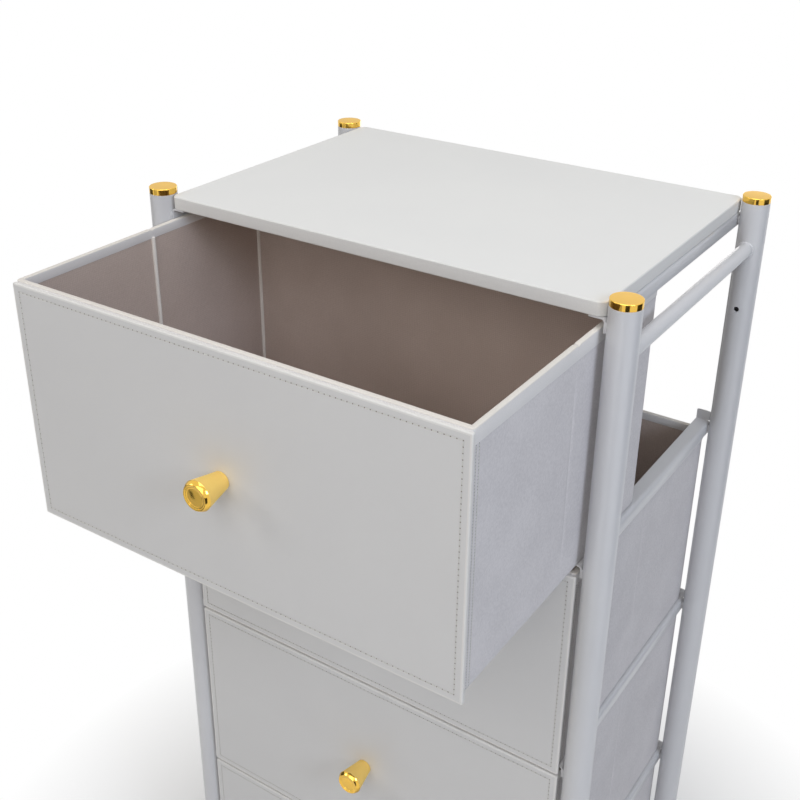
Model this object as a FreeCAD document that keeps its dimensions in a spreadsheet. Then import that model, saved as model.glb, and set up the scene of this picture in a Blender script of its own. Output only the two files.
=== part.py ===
"""Dresser with fabric drawers: a steel-tube frame, a board on top and soft drawers on angle rails.

The front faces -Y, +X is to the right and +Z is up. The origin lies on the floor, midway between the
four posts. The top drawer stands open and the other drawers are closed.
"""
import FreeCAD
import Part
import Sketcher
import os
from enum import IntEnum

DRAWERS = (1, 2, 3, 4)
SIDES = {"left": -1, "right": 1}
ENDS = {"front": -1, "rear": 1}


class Point(IntEnum):
    """The points of a line or circle, as the sketcher numbers them."""
    START = 1
    END = 2
    MIDDLE = 3


class Datum(IntEnum):
    """A sketch's own point and axes, as the sketcher numbers them."""
    ORIGIN = -1
    X_AXIS = -1
    Y_AXIS = -2


# Driving dimensions in millimetres
SIZES = {
    # Posts, their caps and feet
    "post_spacing_x": 450.0,
    "post_spacing_y": 285.0,
    "post_diameter": 25.0,
    "post_wall": 1.2,
    "cap_height": 6.0,
    "cap_crown": 1.0,
    "plug_length": 16.0,
    "plug_clearance": 0.15,
    "foot_height": 4.0,
    # Round side tubes and cross bars
    "rod_diameter": 13.0,
    "rod_wall": 1.2,
    "weld_gap": 0.2,
    "upper_rod_drop": 30.5,
    "bar_clearance": 12.5,
    # Bolts and threaded plugs of the cross bars
    "bolt_diameter": 6.0,
    "bolt_hole_clearance": 0.25,
    "bolt_head_diameter": 11.0,
    "bolt_head_height": 3.2,
    "nut_length": 20.0,
    "nut_setback": 8.0,
    "thread_clearance": 0.05,
    # Holes in the rear posts for a strap to the wall
    "anchor_hole_diameter": 5.0,
    "anchor_drop": 89.0,
    # Angle rails
    "flange_width": 14.0,
    "rail_thickness": 1.5,
    "rail_web_height": 12.0,
    "tab_height": 10.0,
    "rail_setback": 1.0,
    "rail_overlap": 1.0,
    "lowest_rail_height": 64.0,
    "bay_pitch": 217.0,
    # Board on top and its screws
    "board_thickness": 12.0,
    "board_side_gap": 1.0,
    "board_front_overhang": 5.0,
    "board_rear_overhang": 7.0,
    "board_corner_radius": 7.5,
    "board_edge_radius": 1.2,
    "board_screw_diameter": 3.5,
    "board_screw_hole_clearance": 0.35,
    "board_screw_head_diameter": 7.0,
    "board_screw_head_height": 2.0,
    "board_screw_bite": 9.0,
    "board_screw_spacing": 180.0,
    "screw_end_gap": 1.0,
    # Drawer fronts
    "front_projection": 8.5,
    "front_thickness": 3.4,
    "front_side_gap": 3.0,
    "front_gap": 2.5,
    "front_drop": 7.5,
    "front_corner_radius": 1.5,
    "front_edge_radius": 1.0,
    # Drawer boxes
    "running_gap": 0.3,
    "rim_gap": 0.8,
    "box_side_gap": 2.8,
    "stop_gap": 1.0,
    "cover_thickness": 0.8,
    "wall_board_thickness": 2.0,
    "lining_thickness": 0.8,
    "hem_height": 7.0,
    "fold_gap": 1.5,
    "base_thickness": 4.0,
    "base_gap": 1.5,
    "base_corner_radius": 3.0,
    "drawer_opening": 177.0,
    # Knobs and their screws
    "knob_length": 29.5,
    "knob_foot_diameter": 15.5,
    "knob_end_diameter": 25.6,
    "knob_rim_length": 3.4,
    "knob_rim_inset": 2.0,
    "knob_step_diameter": 18.0,
    "knob_step_depth": 0.6,
    "knob_screw_diameter": 4.0,
    "knob_screw_hole_clearance": 0.25,
    "knob_screw_head_diameter": 8.0,
    "knob_screw_head_height": 2.4,
    "knob_screw_bite": 12.0,
}

# Lengths and places worked out from the driving dimensions, as expressions on the sheet
POST_X = "(Sizes.post_spacing_x / 2)"
POST_Y = "(Sizes.post_spacing_y / 2)"
POST_RADIUS = "(Sizes.post_diameter / 2)"
POST_BORE_RADIUS = f"({POST_RADIUS} - Sizes.post_wall)"
PLUG_RADIUS = f"({POST_BORE_RADIUS} - Sizes.plug_clearance)"
BOARD_UNDERSIDE = f"(Sizes.lowest_rail_height + {len(DRAWERS)} * Sizes.bay_pitch)"
POST_TOP = f"({BOARD_UNDERSIDE} + Sizes.board_thickness)"
POST_LENGTH = f"({POST_TOP} - Sizes.foot_height)"

ROD_RADIUS = "(Sizes.rod_diameter / 2)"
ROD_BORE_RADIUS = f"({ROD_RADIUS} - Sizes.rod_wall)"
UPPER_ROD_Z = f"({BOARD_UNDERSIDE} - Sizes.upper_rod_drop)"
LOWER_ROD_Z = f"(Sizes.lowest_rail_height - Sizes.front_drop - Sizes.bar_clearance - {ROD_RADIUS})"
COPE_RADIUS = f"({POST_RADIUS} + Sizes.weld_gap)"

BOLT_RADIUS = "(Sizes.bolt_diameter / 2)"
BOLT_HOLE_RADIUS = f"({BOLT_RADIUS} + Sizes.bolt_hole_clearance)"
BOLT_SEAT_X = f"({POST_X} + {POST_RADIUS})"
NUT_OUTER_X = f"({POST_X} - {COPE_RADIUS} - Sizes.nut_setback)"
BOLT_LENGTH = f"({BOLT_SEAT_X} - {NUT_OUTER_X} + Sizes.nut_length)"
ANCHOR_Z = f"({BOARD_UNDERSIDE} - Sizes.anchor_drop)"

RAIL_OUTER_X = f"({POST_X} - {COPE_RADIUS})"
RAIL_WEB_X = f"({RAIL_OUTER_X} - Sizes.rail_thickness)"
RAIL_FLANGE_X = f"({RAIL_OUTER_X} - Sizes.flange_width)"
BOARD_HALF_WIDTH = f"({POST_X} - {POST_RADIUS} - Sizes.board_side_gap)"
BOARD_SCREW_X = f"({RAIL_OUTER_X} - Sizes.flange_width / 2)"
BOARD_SCREW_RADIUS = "(Sizes.board_screw_diameter / 2)"

FRONT_BACK_Y = f"(-{POST_Y} - Sizes.front_projection + Sizes.front_thickness)"
FRONT_HALF_WIDTH = f"({POST_X} - {POST_RADIUS} - Sizes.front_side_gap)"
FRONT_HEIGHT = "(Sizes.bay_pitch - Sizes.front_gap)"
RAIL_FRONT_Y = f"({FRONT_BACK_Y} + Sizes.rail_setback)"
RAIL_REAR_Y = f"({POST_Y} + Sizes.rail_overlap)"
BOX_HALF_WIDTH = f"({RAIL_WEB_X} - Sizes.box_side_gap)"
BOX_DEPTH = f"({RAIL_REAR_Y} - Sizes.rail_thickness - Sizes.stop_gap - {FRONT_BACK_Y})"
BOX_HEIGHT = "(Sizes.bay_pitch - Sizes.front_drop - Sizes.rim_gap - Sizes.running_gap)"
WALL_THICKNESS = "(Sizes.cover_thickness + Sizes.wall_board_thickness + Sizes.lining_thickness)"
LINING_INSET = "(Sizes.cover_thickness + Sizes.wall_board_thickness)"
WALL_BOARD_HEIGHT = f"({BOX_HEIGHT} - 2 * Sizes.cover_thickness)"
LINING_HEIGHT = f"({WALL_BOARD_HEIGHT} - Sizes.hem_height)"
BASE_LEVEL = "(Sizes.cover_thickness + Sizes.lining_thickness)"
KNOB_Z = f"({FRONT_HEIGHT} / 2 - Sizes.front_drop - Sizes.running_gap)"
KNOB_SCREW_RADIUS = "(Sizes.knob_screw_diameter / 2)"
KNOB_SCREW_HOLE_RADIUS = f"({KNOB_SCREW_RADIUS} + Sizes.knob_screw_hole_clearance)"

ALONG_Y = FreeCAD.Rotation(FreeCAD.Vector(1, 0, 0), -90)
ALONG_MINUS_Y = FreeCAD.Rotation(FreeCAD.Vector(1, 0, 0), 90)
ALONG_X = FreeCAD.Rotation(FreeCAD.Vector(0, 1, 0), 90)
ALONG_MINUS_X = FreeCAD.Rotation(FreeCAD.Vector(0, 1, 0), -90)

doc = FreeCAD.newDocument("Dresser")
sheet = doc.addObject("Spreadsheet::Sheet", "Sizes")
for row, (alias, size) in enumerate(SIZES.items(), start=1):
    sheet.set(f"A{row}", alias)
    sheet.set(f"B{row}", str(size))
    sheet.setAlias(f"B{row}", alias)
doc.recompute()

nodes = []


def value(expression):
    """The number that an expression on the sheet has now."""
    return float(sheet.evalExpression(expression))


def bind(thing, **sizes):
    """Binds properties of a document object to expressions."""
    for name, expression in sizes.items():
        thing.setExpression(name, expression)
    return thing


def place(thing, x="0", y="0", z="0", turn=None):
    """Turns a document object and binds the place of its base point to expressions."""
    if turn:
        thing.Placement = FreeCAD.Placement(FreeCAD.Vector(), turn)
    for axis, expression in (("x", x), ("y", y), ("z", z)):
        thing.setExpression(f"Placement.Base.{axis}", expression)
    return thing


def keep(thing, label):
    """Lists an object as one piece of the dresser, under the name of its file."""
    thing.Label = label
    nodes.append(thing)
    return thing


# Bodies made of sketches and features


def new_body(label, x="0", y="0", z="0"):
    return place(keep(doc.addObject("PartDesign::Body", label), label), x, y, z)


def new_sketch(body, role, offset="0"):
    """A sketch on one of the body's own origin planes, lifted off it by an expression."""
    sketch = body.newObject("Sketcher::SketchObject", f"{body.Name}_sketch")
    support = next(plane for plane in body.Origin.OriginFeatures if plane.Role == role)
    sketch.AttachmentSupport = [(support, "")]
    sketch.MapMode = "FlatFace"
    sketch.setExpression("AttachmentOffset.Base.z", offset)
    return sketch


def fix_point(sketch, geometry, point, x, y):
    """Holds a point of a sketch at the place that two expressions give."""
    for kind, expression, axis in (("DistanceX", x, Datum.Y_AXIS), ("DistanceY", y, Datum.X_AXIS)):
        size = value(expression)
        if size == 0:
            sketch.addConstraint(Sketcher.Constraint("PointOnObject", geometry, point, axis))
            continue
        corner = (Datum.ORIGIN, Point.START)
        ends = (*corner, geometry, point) if size > 0 else (geometry, point, *corner)
        index = sketch.addConstraint(Sketcher.Constraint(kind, *ends, abs(size)))
        sketch.setExpression(f"Constraints[{index}]", expression if size > 0 else f"-({expression})")


def add_outline(sketch, corners):
    """Draws a closed polygon through corners given as pairs of expressions."""
    points = [FreeCAD.Vector(value(x), value(y), 0) for x, y in corners]
    first = sketch.GeometryCount
    for point, following in zip(points, points[1:] + points[:1]):
        sketch.addGeometry(Part.LineSegment(point, following), False)
    for i, (x, y) in enumerate(corners):
        following = first + (i + 1) % len(corners)
        sketch.addConstraint(Sketcher.Constraint("Coincident", first + i, Point.END, following, Point.START))
        fix_point(sketch, first + i, Point.START, x, y)


def add_rectangle(sketch, x_low, x_high, y_low, y_high):
    add_outline(sketch, [(x_low, y_low), (x_high, y_low), (x_high, y_high), (x_low, y_high)])


def add_circle(sketch, x, y, radius):
    centre = FreeCAD.Vector(value(x), value(y), 0)
    geometry = sketch.addGeometry(Part.Circle(centre, FreeCAD.Vector(0, 0, 1), value(radius)), False)
    fix_point(sketch, geometry, Point.MIDDLE, x, y)
    index = sketch.addConstraint(Sketcher.Constraint("Radius", geometry, value(radius)))
    sketch.setExpression(f"Constraints[{index}]", radius)


def pad(body, sketch, length):
    feature = body.newObject("PartDesign::Pad", f"{body.Name}_pad")
    feature.Profile = sketch
    bind(feature, Length=length)
    doc.recompute()


def pocket(body, sketch, length=None, upwards=False):
    """Cuts a sketch into the body, to a length given by an expression or right through both ways."""
    before = body.Shape.Volume
    feature = body.newObject("PartDesign::Pocket", f"{body.Name}_pocket")
    feature.Profile = sketch
    feature.Reversed = upwards
    if length:
        bind(feature, Length=length)
    else:
        feature.Type = "ThroughAll"
        feature.SideType = "Symmetric"
    doc.recompute()
    if not body.Shape.Volume < before:
        raise ValueError(f"{feature.Name} cuts nothing")


def revolve(body, sketch):
    """Turns a sketch once round its own vertical axis."""
    feature = body.newObject("PartDesign::Revolution", f"{body.Name}_revolution")
    feature.Profile = sketch
    feature.ReferenceAxis = (sketch, ["V_Axis"])
    feature.Angle = 360
    doc.recompute()


def round_edges(body, radius, wanted):
    """Rounds the edges of the body that a test picks."""
    base = body.Tip
    names = [f"Edge{i}" for i, edge in enumerate(base.Shape.Edges, start=1) if wanted(edge)]
    feature = body.newObject("PartDesign::Fillet", f"{body.Name}_fillet")
    feature.Base = (base, names)
    bind(feature, Radius=radius)
    doc.recompute()


def runs_along(axis):
    """A test for straight edges parallel to an axis."""
    def test(edge):
        line = edge.Vertexes[-1].Point - edge.Vertexes[0].Point
        return abs(line.dot(axis)) > 0.999 * edge.Length
    return test


def lies_at(axis, level):
    """A test for edges that lie in the plane at a level on an axis."""
    def test(edge):
        points = edge.discretize(5)
        return all(abs(point.dot(axis) - level) < 1e-6 for point in points)
    return test


# Pieces made of plain solids


def cylinder(name, radius, height, x="0", y="0", z="0", turn=None):
    thing = bind(doc.addObject("Part::Cylinder", name), Radius=radius, Height=height)
    return place(thing, x, y, z, turn)


def box(name, length, width, height, x, y, z):
    thing = bind(doc.addObject("Part::Box", name), Length=length, Width=width, Height=height)
    return place(thing, x, y, z)


def subtract(name, base, *tools):
    """The base with every tool cut out of it."""
    joined = tools[0]
    if len(tools) > 1:
        joined = doc.addObject("Part::MultiFuse", f"{name}_tools")
        joined.Shapes = list(tools)
    result = doc.addObject("Part::Cut", name)
    result.Base = base
    result.Tool = joined
    return result


def screw(name, head_diameter, head_height, radius, length):
    """A screw whose shank points along +Z from the seat of its head."""
    head = cylinder(f"{name}_head", f"{head_diameter} / 2", head_height, z=f"-{head_height}")
    shank = cylinder(f"{name}_shank", radius, length)
    result = doc.addObject("Part::Fuse", name)
    result.Base = head
    result.Tool = shank
    return result


def keep_group(label, things):
    """Lists several separate solids as one piece."""
    group = doc.addObject("Part::Compound", label)
    group.Links = things
    return keep(group, label)


# Posts: hollow round tubes, bored near the foot for the cross bars' bolts. The rear ones also have a hole
# for a strap to the wall. A gold cap is pressed into the upper end and a plastic foot into the lower one.


def make_post(label, x, y, anchored):
    body = new_body(label, x, y, "Sizes.foot_height")
    tube = new_sketch(body, "XY_Plane")
    add_circle(tube, "0", "0", POST_RADIUS)
    add_circle(tube, "0", "0", POST_BORE_RADIUS)
    pad(body, tube, POST_LENGTH)
    bolt_hole = new_sketch(body, "YZ_Plane")
    add_circle(bolt_hole, "0", f"{LOWER_ROD_Z} - Sizes.foot_height", BOLT_HOLE_RADIUS)
    pocket(body, bolt_hole)
    if anchored:
        anchor_hole = new_sketch(body, "XZ_Plane")
        add_circle(anchor_hole, "0", f"{ANCHOR_Z} - Sizes.foot_height", "Sizes.anchor_hole_diameter / 2")
        pocket(body, anchor_hole)


def make_cap(label, x, y):
    body = new_body(label, x, y, POST_TOP)
    half_section = new_sketch(body, "XZ_Plane")
    add_outline(half_section, [
        ("0", "-Sizes.plug_length"),
        (PLUG_RADIUS, "-Sizes.plug_length"),
        (PLUG_RADIUS, "0"),
        (POST_RADIUS, "0"),
        (POST_RADIUS, "Sizes.cap_height - Sizes.cap_crown"),
        (f"{POST_RADIUS} - Sizes.cap_crown", "Sizes.cap_height"),
        ("0", "Sizes.cap_height"),
    ])
    revolve(body, half_section)


def make_foot(label, x, y):
    body = new_body(label, x, y)
    half_section = new_sketch(body, "XZ_Plane")
    add_outline(half_section, [
        ("0", "0"),
        (POST_RADIUS, "0"),
        (POST_RADIUS, "Sizes.foot_height"),
        (PLUG_RADIUS, "Sizes.foot_height"),
        (PLUG_RADIUS, "Sizes.foot_height + Sizes.plug_length"),
        ("0", "Sizes.foot_height + Sizes.plug_length"),
    ])
    revolve(body, half_section)


for end, y_sign in ENDS.items():
    for side, x_sign in SIDES.items():
        post_place = (f"{x_sign} * {POST_X}", f"{y_sign} * {POST_Y}")
        make_post(f"post_{end}_{side}", *post_place, anchored=end == "rear")
        make_cap(f"cap_{end}_{side}", *post_place)
        make_foot(f"foot_{end}_{side}", *post_place)


# Side tubes and cross bars: thinner round tubes with ends hollowed to sit against the posts. The side tubes
# are welded. The cross bars are bolted on, through the posts into threaded plugs in the bars' ends.


def make_rod(label, turn, length, z, posts):
    start = (*posts[0], z)
    outside = cylinder(f"{label}_outside", ROD_RADIUS, length, *start, turn)
    bore = cylinder(f"{label}_bore", ROD_BORE_RADIUS, length, *start, turn)
    cope_height = "2 * Sizes.rod_diameter"
    cope_foot = f"{z} - Sizes.rod_diameter"
    copes = [cylinder(f"{label}_cope", COPE_RADIUS, cope_height, x, y, cope_foot) for x, y in posts]
    keep(subtract(label, outside, bore, *copes), label)


for side, x_sign in SIDES.items():
    side_posts = [(f"{x_sign} * {POST_X}", f"{y_sign} * {POST_Y}") for y_sign in ENDS.values()]
    make_rod(f"side_tube_upper_{side}", ALONG_Y, "Sizes.post_spacing_y", UPPER_ROD_Z, side_posts)
    make_rod(f"side_tube_lower_{side}", ALONG_Y, "Sizes.post_spacing_y", LOWER_ROD_Z, side_posts)

bolts = []
nuts = []
for end, y_sign in ENDS.items():
    bar_y = f"{y_sign} * {POST_Y}"
    bar_posts = [(f"{x_sign} * {POST_X}", bar_y) for x_sign in SIDES.values()]
    make_rod(f"cross_bar_{end}", ALONG_X, "Sizes.post_spacing_x", LOWER_ROD_Z, bar_posts)
    for side, x_sign in SIDES.items():
        bolt = screw("bolt", "Sizes.bolt_head_diameter", "Sizes.bolt_head_height", BOLT_RADIUS, BOLT_LENGTH)
        inwards = ALONG_MINUS_X if side == "right" else ALONG_X
        bolts.append(place(bolt, f"{x_sign} * {BOLT_SEAT_X}", bar_y, LOWER_ROD_Z, inwards))
        nut_start = f"{NUT_OUTER_X} - Sizes.nut_length" if side == "right" else f"-{NUT_OUTER_X}"
        nut_place = (nut_start, bar_y, LOWER_ROD_Z, ALONG_X)
        nut_radius = f"{ROD_BORE_RADIUS} - Sizes.plug_clearance"
        thread_radius = f"{BOLT_RADIUS} + Sizes.thread_clearance"
        plug = cylinder("nut_plug", nut_radius, "Sizes.nut_length", *nut_place)
        thread = cylinder("nut_thread", thread_radius, "Sizes.nut_length", *nut_place)
        nuts.append(subtract("nut", plug, thread))
keep_group("cross_bar_bolts", bolts)
keep_group("cross_bar_nuts", nuts)


# Angle rails: bent sheet steel, welded to the inner sides of the posts. The flange lies on top and points
# inwards, the web hangs down on the outside. A drawer rail's flange is bent up into a tab at its rear end.


def make_rail(label, sign, top):
    body = new_body(label, y=RAIL_REAR_Y, z=top)
    flange_x, web_x, outer_x = (f"{sign} * {x}" for x in (RAIL_FLANGE_X, RAIL_WEB_X, RAIL_OUTER_X))
    profile = new_sketch(body, "XZ_Plane")
    add_outline(profile, [
        (flange_x, "0"),
        (outer_x, "0"),
        (outer_x, "-Sizes.rail_web_height"),
        (web_x, "-Sizes.rail_web_height"),
        (web_x, "-Sizes.rail_thickness"),
        (flange_x, "-Sizes.rail_thickness"),
    ])
    pad(body, profile, f"{RAIL_REAR_Y} - {RAIL_FRONT_Y}")
    return body


def bend_tab(body, sign):
    tab = new_sketch(body, "XZ_Plane")
    edges = (f"{sign} * {RAIL_FLANGE_X}", f"{sign} * {RAIL_OUTER_X}")
    add_rectangle(tab, *edges, "-Sizes.rail_thickness", "Sizes.tab_height")
    pad(body, tab, "Sizes.rail_thickness")


BOARD_SCREW_YS = [f"{y_sign} * Sizes.board_screw_spacing / 2" for y_sign in ENDS.values()]

for side, x_sign in SIDES.items():
    top_rail = make_rail(f"top_rail_{side}", x_sign, BOARD_UNDERSIDE)
    screw_holes = new_sketch(top_rail, "XY_Plane")
    for screw_y in BOARD_SCREW_YS:
        hole_radius = f"{BOARD_SCREW_RADIUS} + Sizes.board_screw_hole_clearance"
        add_circle(screw_holes, f"{x_sign} * {BOARD_SCREW_X}", f"{screw_y} - {RAIL_REAR_Y}", hole_radius)
    pocket(top_rail, screw_holes)
    for drawer in DRAWERS:
        rail_top = f"{BOARD_UNDERSIDE} - {drawer} * Sizes.bay_pitch"
        bend_tab(make_rail(f"drawer_rail_{drawer}_{side}", x_sign, rail_top), x_sign)


# Board on top: a painted panel with rounded corners that lies on the top rails between the posts. Screws
# through the rails' flanges hold it from below.

board = new_body("top_board", z=BOARD_UNDERSIDE)
board_outline = new_sketch(board, "XY_Plane")
board_front = f"-{POST_Y} - Sizes.board_front_overhang"
board_rear = f"{POST_Y} + Sizes.board_rear_overhang"
add_rectangle(board_outline, f"-{BOARD_HALF_WIDTH}", BOARD_HALF_WIDTH, board_front, board_rear)
pad(board, board_outline, "Sizes.board_thickness")
round_edges(board, "Sizes.board_corner_radius", runs_along(FreeCAD.Vector(0, 0, 1)))
for level in ("0", "Sizes.board_thickness"):
    round_edges(board, "Sizes.board_edge_radius", lies_at(FreeCAD.Vector(0, 0, 1), value(level)))
pilot_holes = new_sketch(board, "XY_Plane")
board_screws = []
for x_sign in SIDES.values():
    for screw_y in BOARD_SCREW_YS:
        screw_x = f"{x_sign} * {BOARD_SCREW_X}"
        add_circle(pilot_holes, screw_x, screw_y, f"{BOARD_SCREW_RADIUS} + Sizes.thread_clearance")
        board_screw = screw(
            "board_screw",
            "Sizes.board_screw_head_diameter",
            "Sizes.board_screw_head_height",
            BOARD_SCREW_RADIUS,
            "Sizes.rail_thickness + Sizes.board_screw_bite",
        )
        board_screws.append(place(board_screw, screw_x, screw_y, f"{BOARD_UNDERSIDE} - Sizes.rail_thickness"))
pocket(board, pilot_holes, "Sizes.board_screw_bite + Sizes.screw_end_gap", upwards=True)
keep_group("top_board_screws", board_screws)


# Drawers: each has a fabric cover with a hemmed rim, stiffening boards between the cover and the lining, a
# loose base board, a stitched front and a knob whose screw goes through the front wall.


def add_inset(sketch, inset):
    """A rectangle that runs round the drawer box at a depth below its outside."""
    half = f"({BOX_HALF_WIDTH} - {inset})"
    add_rectangle(sketch, f"-{half}", half, inset, f"{BOX_DEPTH} - {inset}")


def bore_front_wall(body):
    """The hole of the knob's screw through a layer of the front wall."""
    hole = new_sketch(body, "XZ_Plane")
    add_circle(hole, "0", KNOB_Z, KNOB_SCREW_HOLE_RADIUS)
    pocket(body, hole, WALL_THICKNESS)


def make_cover(label, at):
    body = new_body(label, *at)
    outside = new_sketch(body, "XY_Plane")
    add_inset(outside, "0")
    pad(body, outside, BOX_HEIGHT)
    below_hem = new_sketch(body, "XY_Plane", "Sizes.cover_thickness")
    add_inset(below_hem, "Sizes.cover_thickness")
    pocket(body, below_hem, LINING_HEIGHT, upwards=True)
    board_slot = new_sketch(body, "XY_Plane", "Sizes.cover_thickness")
    add_inset(board_slot, "Sizes.cover_thickness")
    add_inset(board_slot, LINING_INSET)
    pocket(body, board_slot, WALL_BOARD_HEIGHT, upwards=True)
    mouth = new_sketch(body, "XY_Plane", "Sizes.cover_thickness")
    add_inset(mouth, WALL_THICKNESS)
    pocket(body, mouth, BOX_HEIGHT, upwards=True)
    bore_front_wall(body)


def make_wall_boards(label, at):
    face, inner = "Sizes.cover_thickness", LINING_INSET
    thickness = "Sizes.wall_board_thickness"
    length = f"2 * ({BOX_HALF_WIDTH} - {face})"
    left_x = f"-({BOX_HALF_WIDTH} - {face})"
    right_x = f"{BOX_HALF_WIDTH} - {inner}"
    front = box(f"{label}_front", length, thickness, WALL_BOARD_HEIGHT, left_x, face, face)
    hole = cylinder(f"{label}_hole", KNOB_SCREW_HOLE_RADIUS, WALL_THICKNESS, z=KNOB_Z, turn=ALONG_Y)
    rear_y = f"{BOX_DEPTH} - {inner}"
    boards = [
        subtract(f"{label}_bored", front, hole),
        box(f"{label}_rear", length, thickness, WALL_BOARD_HEIGHT, left_x, rear_y, face),
    ]
    half_length = f"({BOX_DEPTH} - 2 * {inner} - Sizes.fold_gap) / 2"
    for x in (left_x, right_x):
        for y in (inner, f"{BOX_DEPTH} - {inner} - {half_length}"):
            boards.append(box(f"{label}_side", thickness, half_length, WALL_BOARD_HEIGHT, x, y, face))
    place(keep_group(label, boards), *at)


def make_lining(label, at):
    body = new_body(label, *at)
    outside = new_sketch(body, "XY_Plane", "Sizes.cover_thickness")
    add_inset(outside, LINING_INSET)
    pad(body, outside, LINING_HEIGHT)
    inside = new_sketch(body, "XY_Plane", BASE_LEVEL)
    add_inset(inside, WALL_THICKNESS)
    pocket(body, inside, LINING_HEIGHT, upwards=True)
    bore_front_wall(body)


def make_base(label, at):
    body = new_body(label, *at)
    outside = new_sketch(body, "XY_Plane", BASE_LEVEL)
    add_inset(outside, f"({WALL_THICKNESS} + Sizes.base_gap)")
    pad(body, outside, "Sizes.base_thickness")
    round_edges(body, "Sizes.base_corner_radius", runs_along(FreeCAD.Vector(0, 0, 1)))


def make_front(label, at):
    body = new_body(label, *at)
    outside = new_sketch(body, "XZ_Plane")
    bottom = "(-Sizes.front_drop - Sizes.running_gap)"
    add_rectangle(outside, f"-{FRONT_HALF_WIDTH}", FRONT_HALF_WIDTH, bottom, f"{bottom} + {FRONT_HEIGHT}")
    pad(body, outside, "Sizes.front_thickness")
    along_y = FreeCAD.Vector(0, 1, 0)
    round_edges(body, "Sizes.front_corner_radius", runs_along(along_y))
    round_edges(body, "Sizes.front_edge_radius", lies_at(along_y, value("-Sizes.front_thickness")))
    hole = new_sketch(body, "XZ_Plane")
    add_circle(hole, "0", KNOB_Z, KNOB_SCREW_HOLE_RADIUS)
    pocket(body, hole)


def make_knob(label, at):
    x, y, z = at
    body = new_body(label, x, f"{y} - Sizes.front_thickness", f"{z} + {KNOB_Z}")
    half_section = new_sketch(body, "XY_Plane")
    thread_radius = f"{KNOB_SCREW_RADIUS} + Sizes.thread_clearance"
    thread_end = "-(Sizes.knob_screw_bite + Sizes.screw_end_gap)"
    end_radius = "Sizes.knob_end_diameter / 2"
    step_radius = "Sizes.knob_step_diameter / 2"
    step_floor = "-(Sizes.knob_length - Sizes.knob_step_depth)"
    add_outline(half_section, [
        (thread_radius, "0"),
        ("Sizes.knob_foot_diameter / 2", "0"),
        (end_radius, "-(Sizes.knob_length - Sizes.knob_rim_length)"),
        (f"{end_radius} - Sizes.knob_rim_inset", "-Sizes.knob_length"),
        (step_radius, "-Sizes.knob_length"),
        (step_radius, step_floor),
        ("0", step_floor),
        ("0", thread_end),
        (thread_radius, thread_end),
    ])
    revolve(body, half_section)


def make_knob_screw(label, at):
    x, y, z = at
    shank_length = f"{WALL_THICKNESS} + Sizes.front_thickness + Sizes.knob_screw_bite"
    knob_screw = screw(
        label,
        "Sizes.knob_screw_head_diameter",
        "Sizes.knob_screw_head_height",
        KNOB_SCREW_RADIUS,
        shank_length,
    )
    place(knob_screw, x, f"{y} + {WALL_THICKNESS}", f"{z} + {KNOB_Z}", ALONG_MINUS_Y)
    keep(knob_screw, label)


for drawer in DRAWERS:
    opening = "Sizes.drawer_opening" if drawer == DRAWERS[0] else "0"
    rail_top = f"({BOARD_UNDERSIDE} - {drawer} * Sizes.bay_pitch)"
    box_corner = ("0", f"({FRONT_BACK_Y} - {opening})", f"({rail_top} + Sizes.running_gap)")
    make_cover(f"drawer_{drawer}_cover", box_corner)
    make_wall_boards(f"drawer_{drawer}_wall_boards", box_corner)
    make_lining(f"drawer_{drawer}_lining", box_corner)
    make_base(f"drawer_{drawer}_base", box_corner)
    make_front(f"drawer_{drawer}_front", box_corner)
    make_knob(f"drawer_{drawer}_knob", box_corner)
    make_knob_screw(f"drawer_{drawer}_knob_screw", box_corner)

doc.recompute()
for thing in doc.Objects:
    if {"Invalid", "Error"} & set(thing.State):
        raise RuntimeError(f"{thing.Label} failed: {thing.State}")
for node in nodes:
    if node.Shape.isNull() or not node.Shape.isValid() or not node.Shape.Solids:
        raise RuntimeError(f"{node.Label} has no valid solid")

os.makedirs("parts", exist_ok=True)
for node in nodes:
    node.Shape.exportStep(f"parts/{node.Label}.step")
print(f"{len(nodes)} pieces")
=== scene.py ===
"""Narrow dresser with fabric drawers on a tube frame, dressed piece by piece around its solids. Metres."""
import math

import bmesh
import bpy
from mathutils import Matrix, Vector, noise


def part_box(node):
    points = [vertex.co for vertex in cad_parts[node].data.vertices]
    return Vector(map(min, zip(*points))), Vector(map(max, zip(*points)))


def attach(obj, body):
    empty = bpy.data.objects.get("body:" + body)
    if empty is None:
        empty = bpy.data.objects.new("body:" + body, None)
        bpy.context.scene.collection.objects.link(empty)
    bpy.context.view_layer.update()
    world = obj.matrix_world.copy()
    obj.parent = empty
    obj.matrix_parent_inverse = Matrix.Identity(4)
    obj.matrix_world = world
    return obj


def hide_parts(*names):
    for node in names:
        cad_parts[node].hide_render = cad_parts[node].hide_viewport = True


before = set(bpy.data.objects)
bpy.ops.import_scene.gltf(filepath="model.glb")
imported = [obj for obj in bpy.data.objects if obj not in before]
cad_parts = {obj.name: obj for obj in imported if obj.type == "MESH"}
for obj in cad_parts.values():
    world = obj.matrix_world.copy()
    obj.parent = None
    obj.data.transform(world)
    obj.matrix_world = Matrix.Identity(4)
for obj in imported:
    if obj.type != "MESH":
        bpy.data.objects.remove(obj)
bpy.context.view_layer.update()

# Posts: four upright steel tubes, 25 mm across, cut square and powder coated pale grey with the rest of the
# welded side frames. Each has a bolt hole near its foot, and the rear ones a small hole for a wall strap.
MM = 0.001
SIDES = {"left": -1, "right": 1}
ENDS = ("front", "rear")
CORNERS = [f"{end}_{side}" for end in ENDS for side in SIDES]
POST_WALL = 1.2 * MM
POST_EDGE = 0.3 * MM
CREASE = 35
BOLT_HOLE_RADIUS = 3.25 * MM
STRAP_HOLE_RADIUS = 2.5 * MM
BOLT_HEIGHT = 37.5 * MM
STRAP_HOLE_HEIGHT = 843 * MM
UP = Vector((0, 0, 1))


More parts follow.
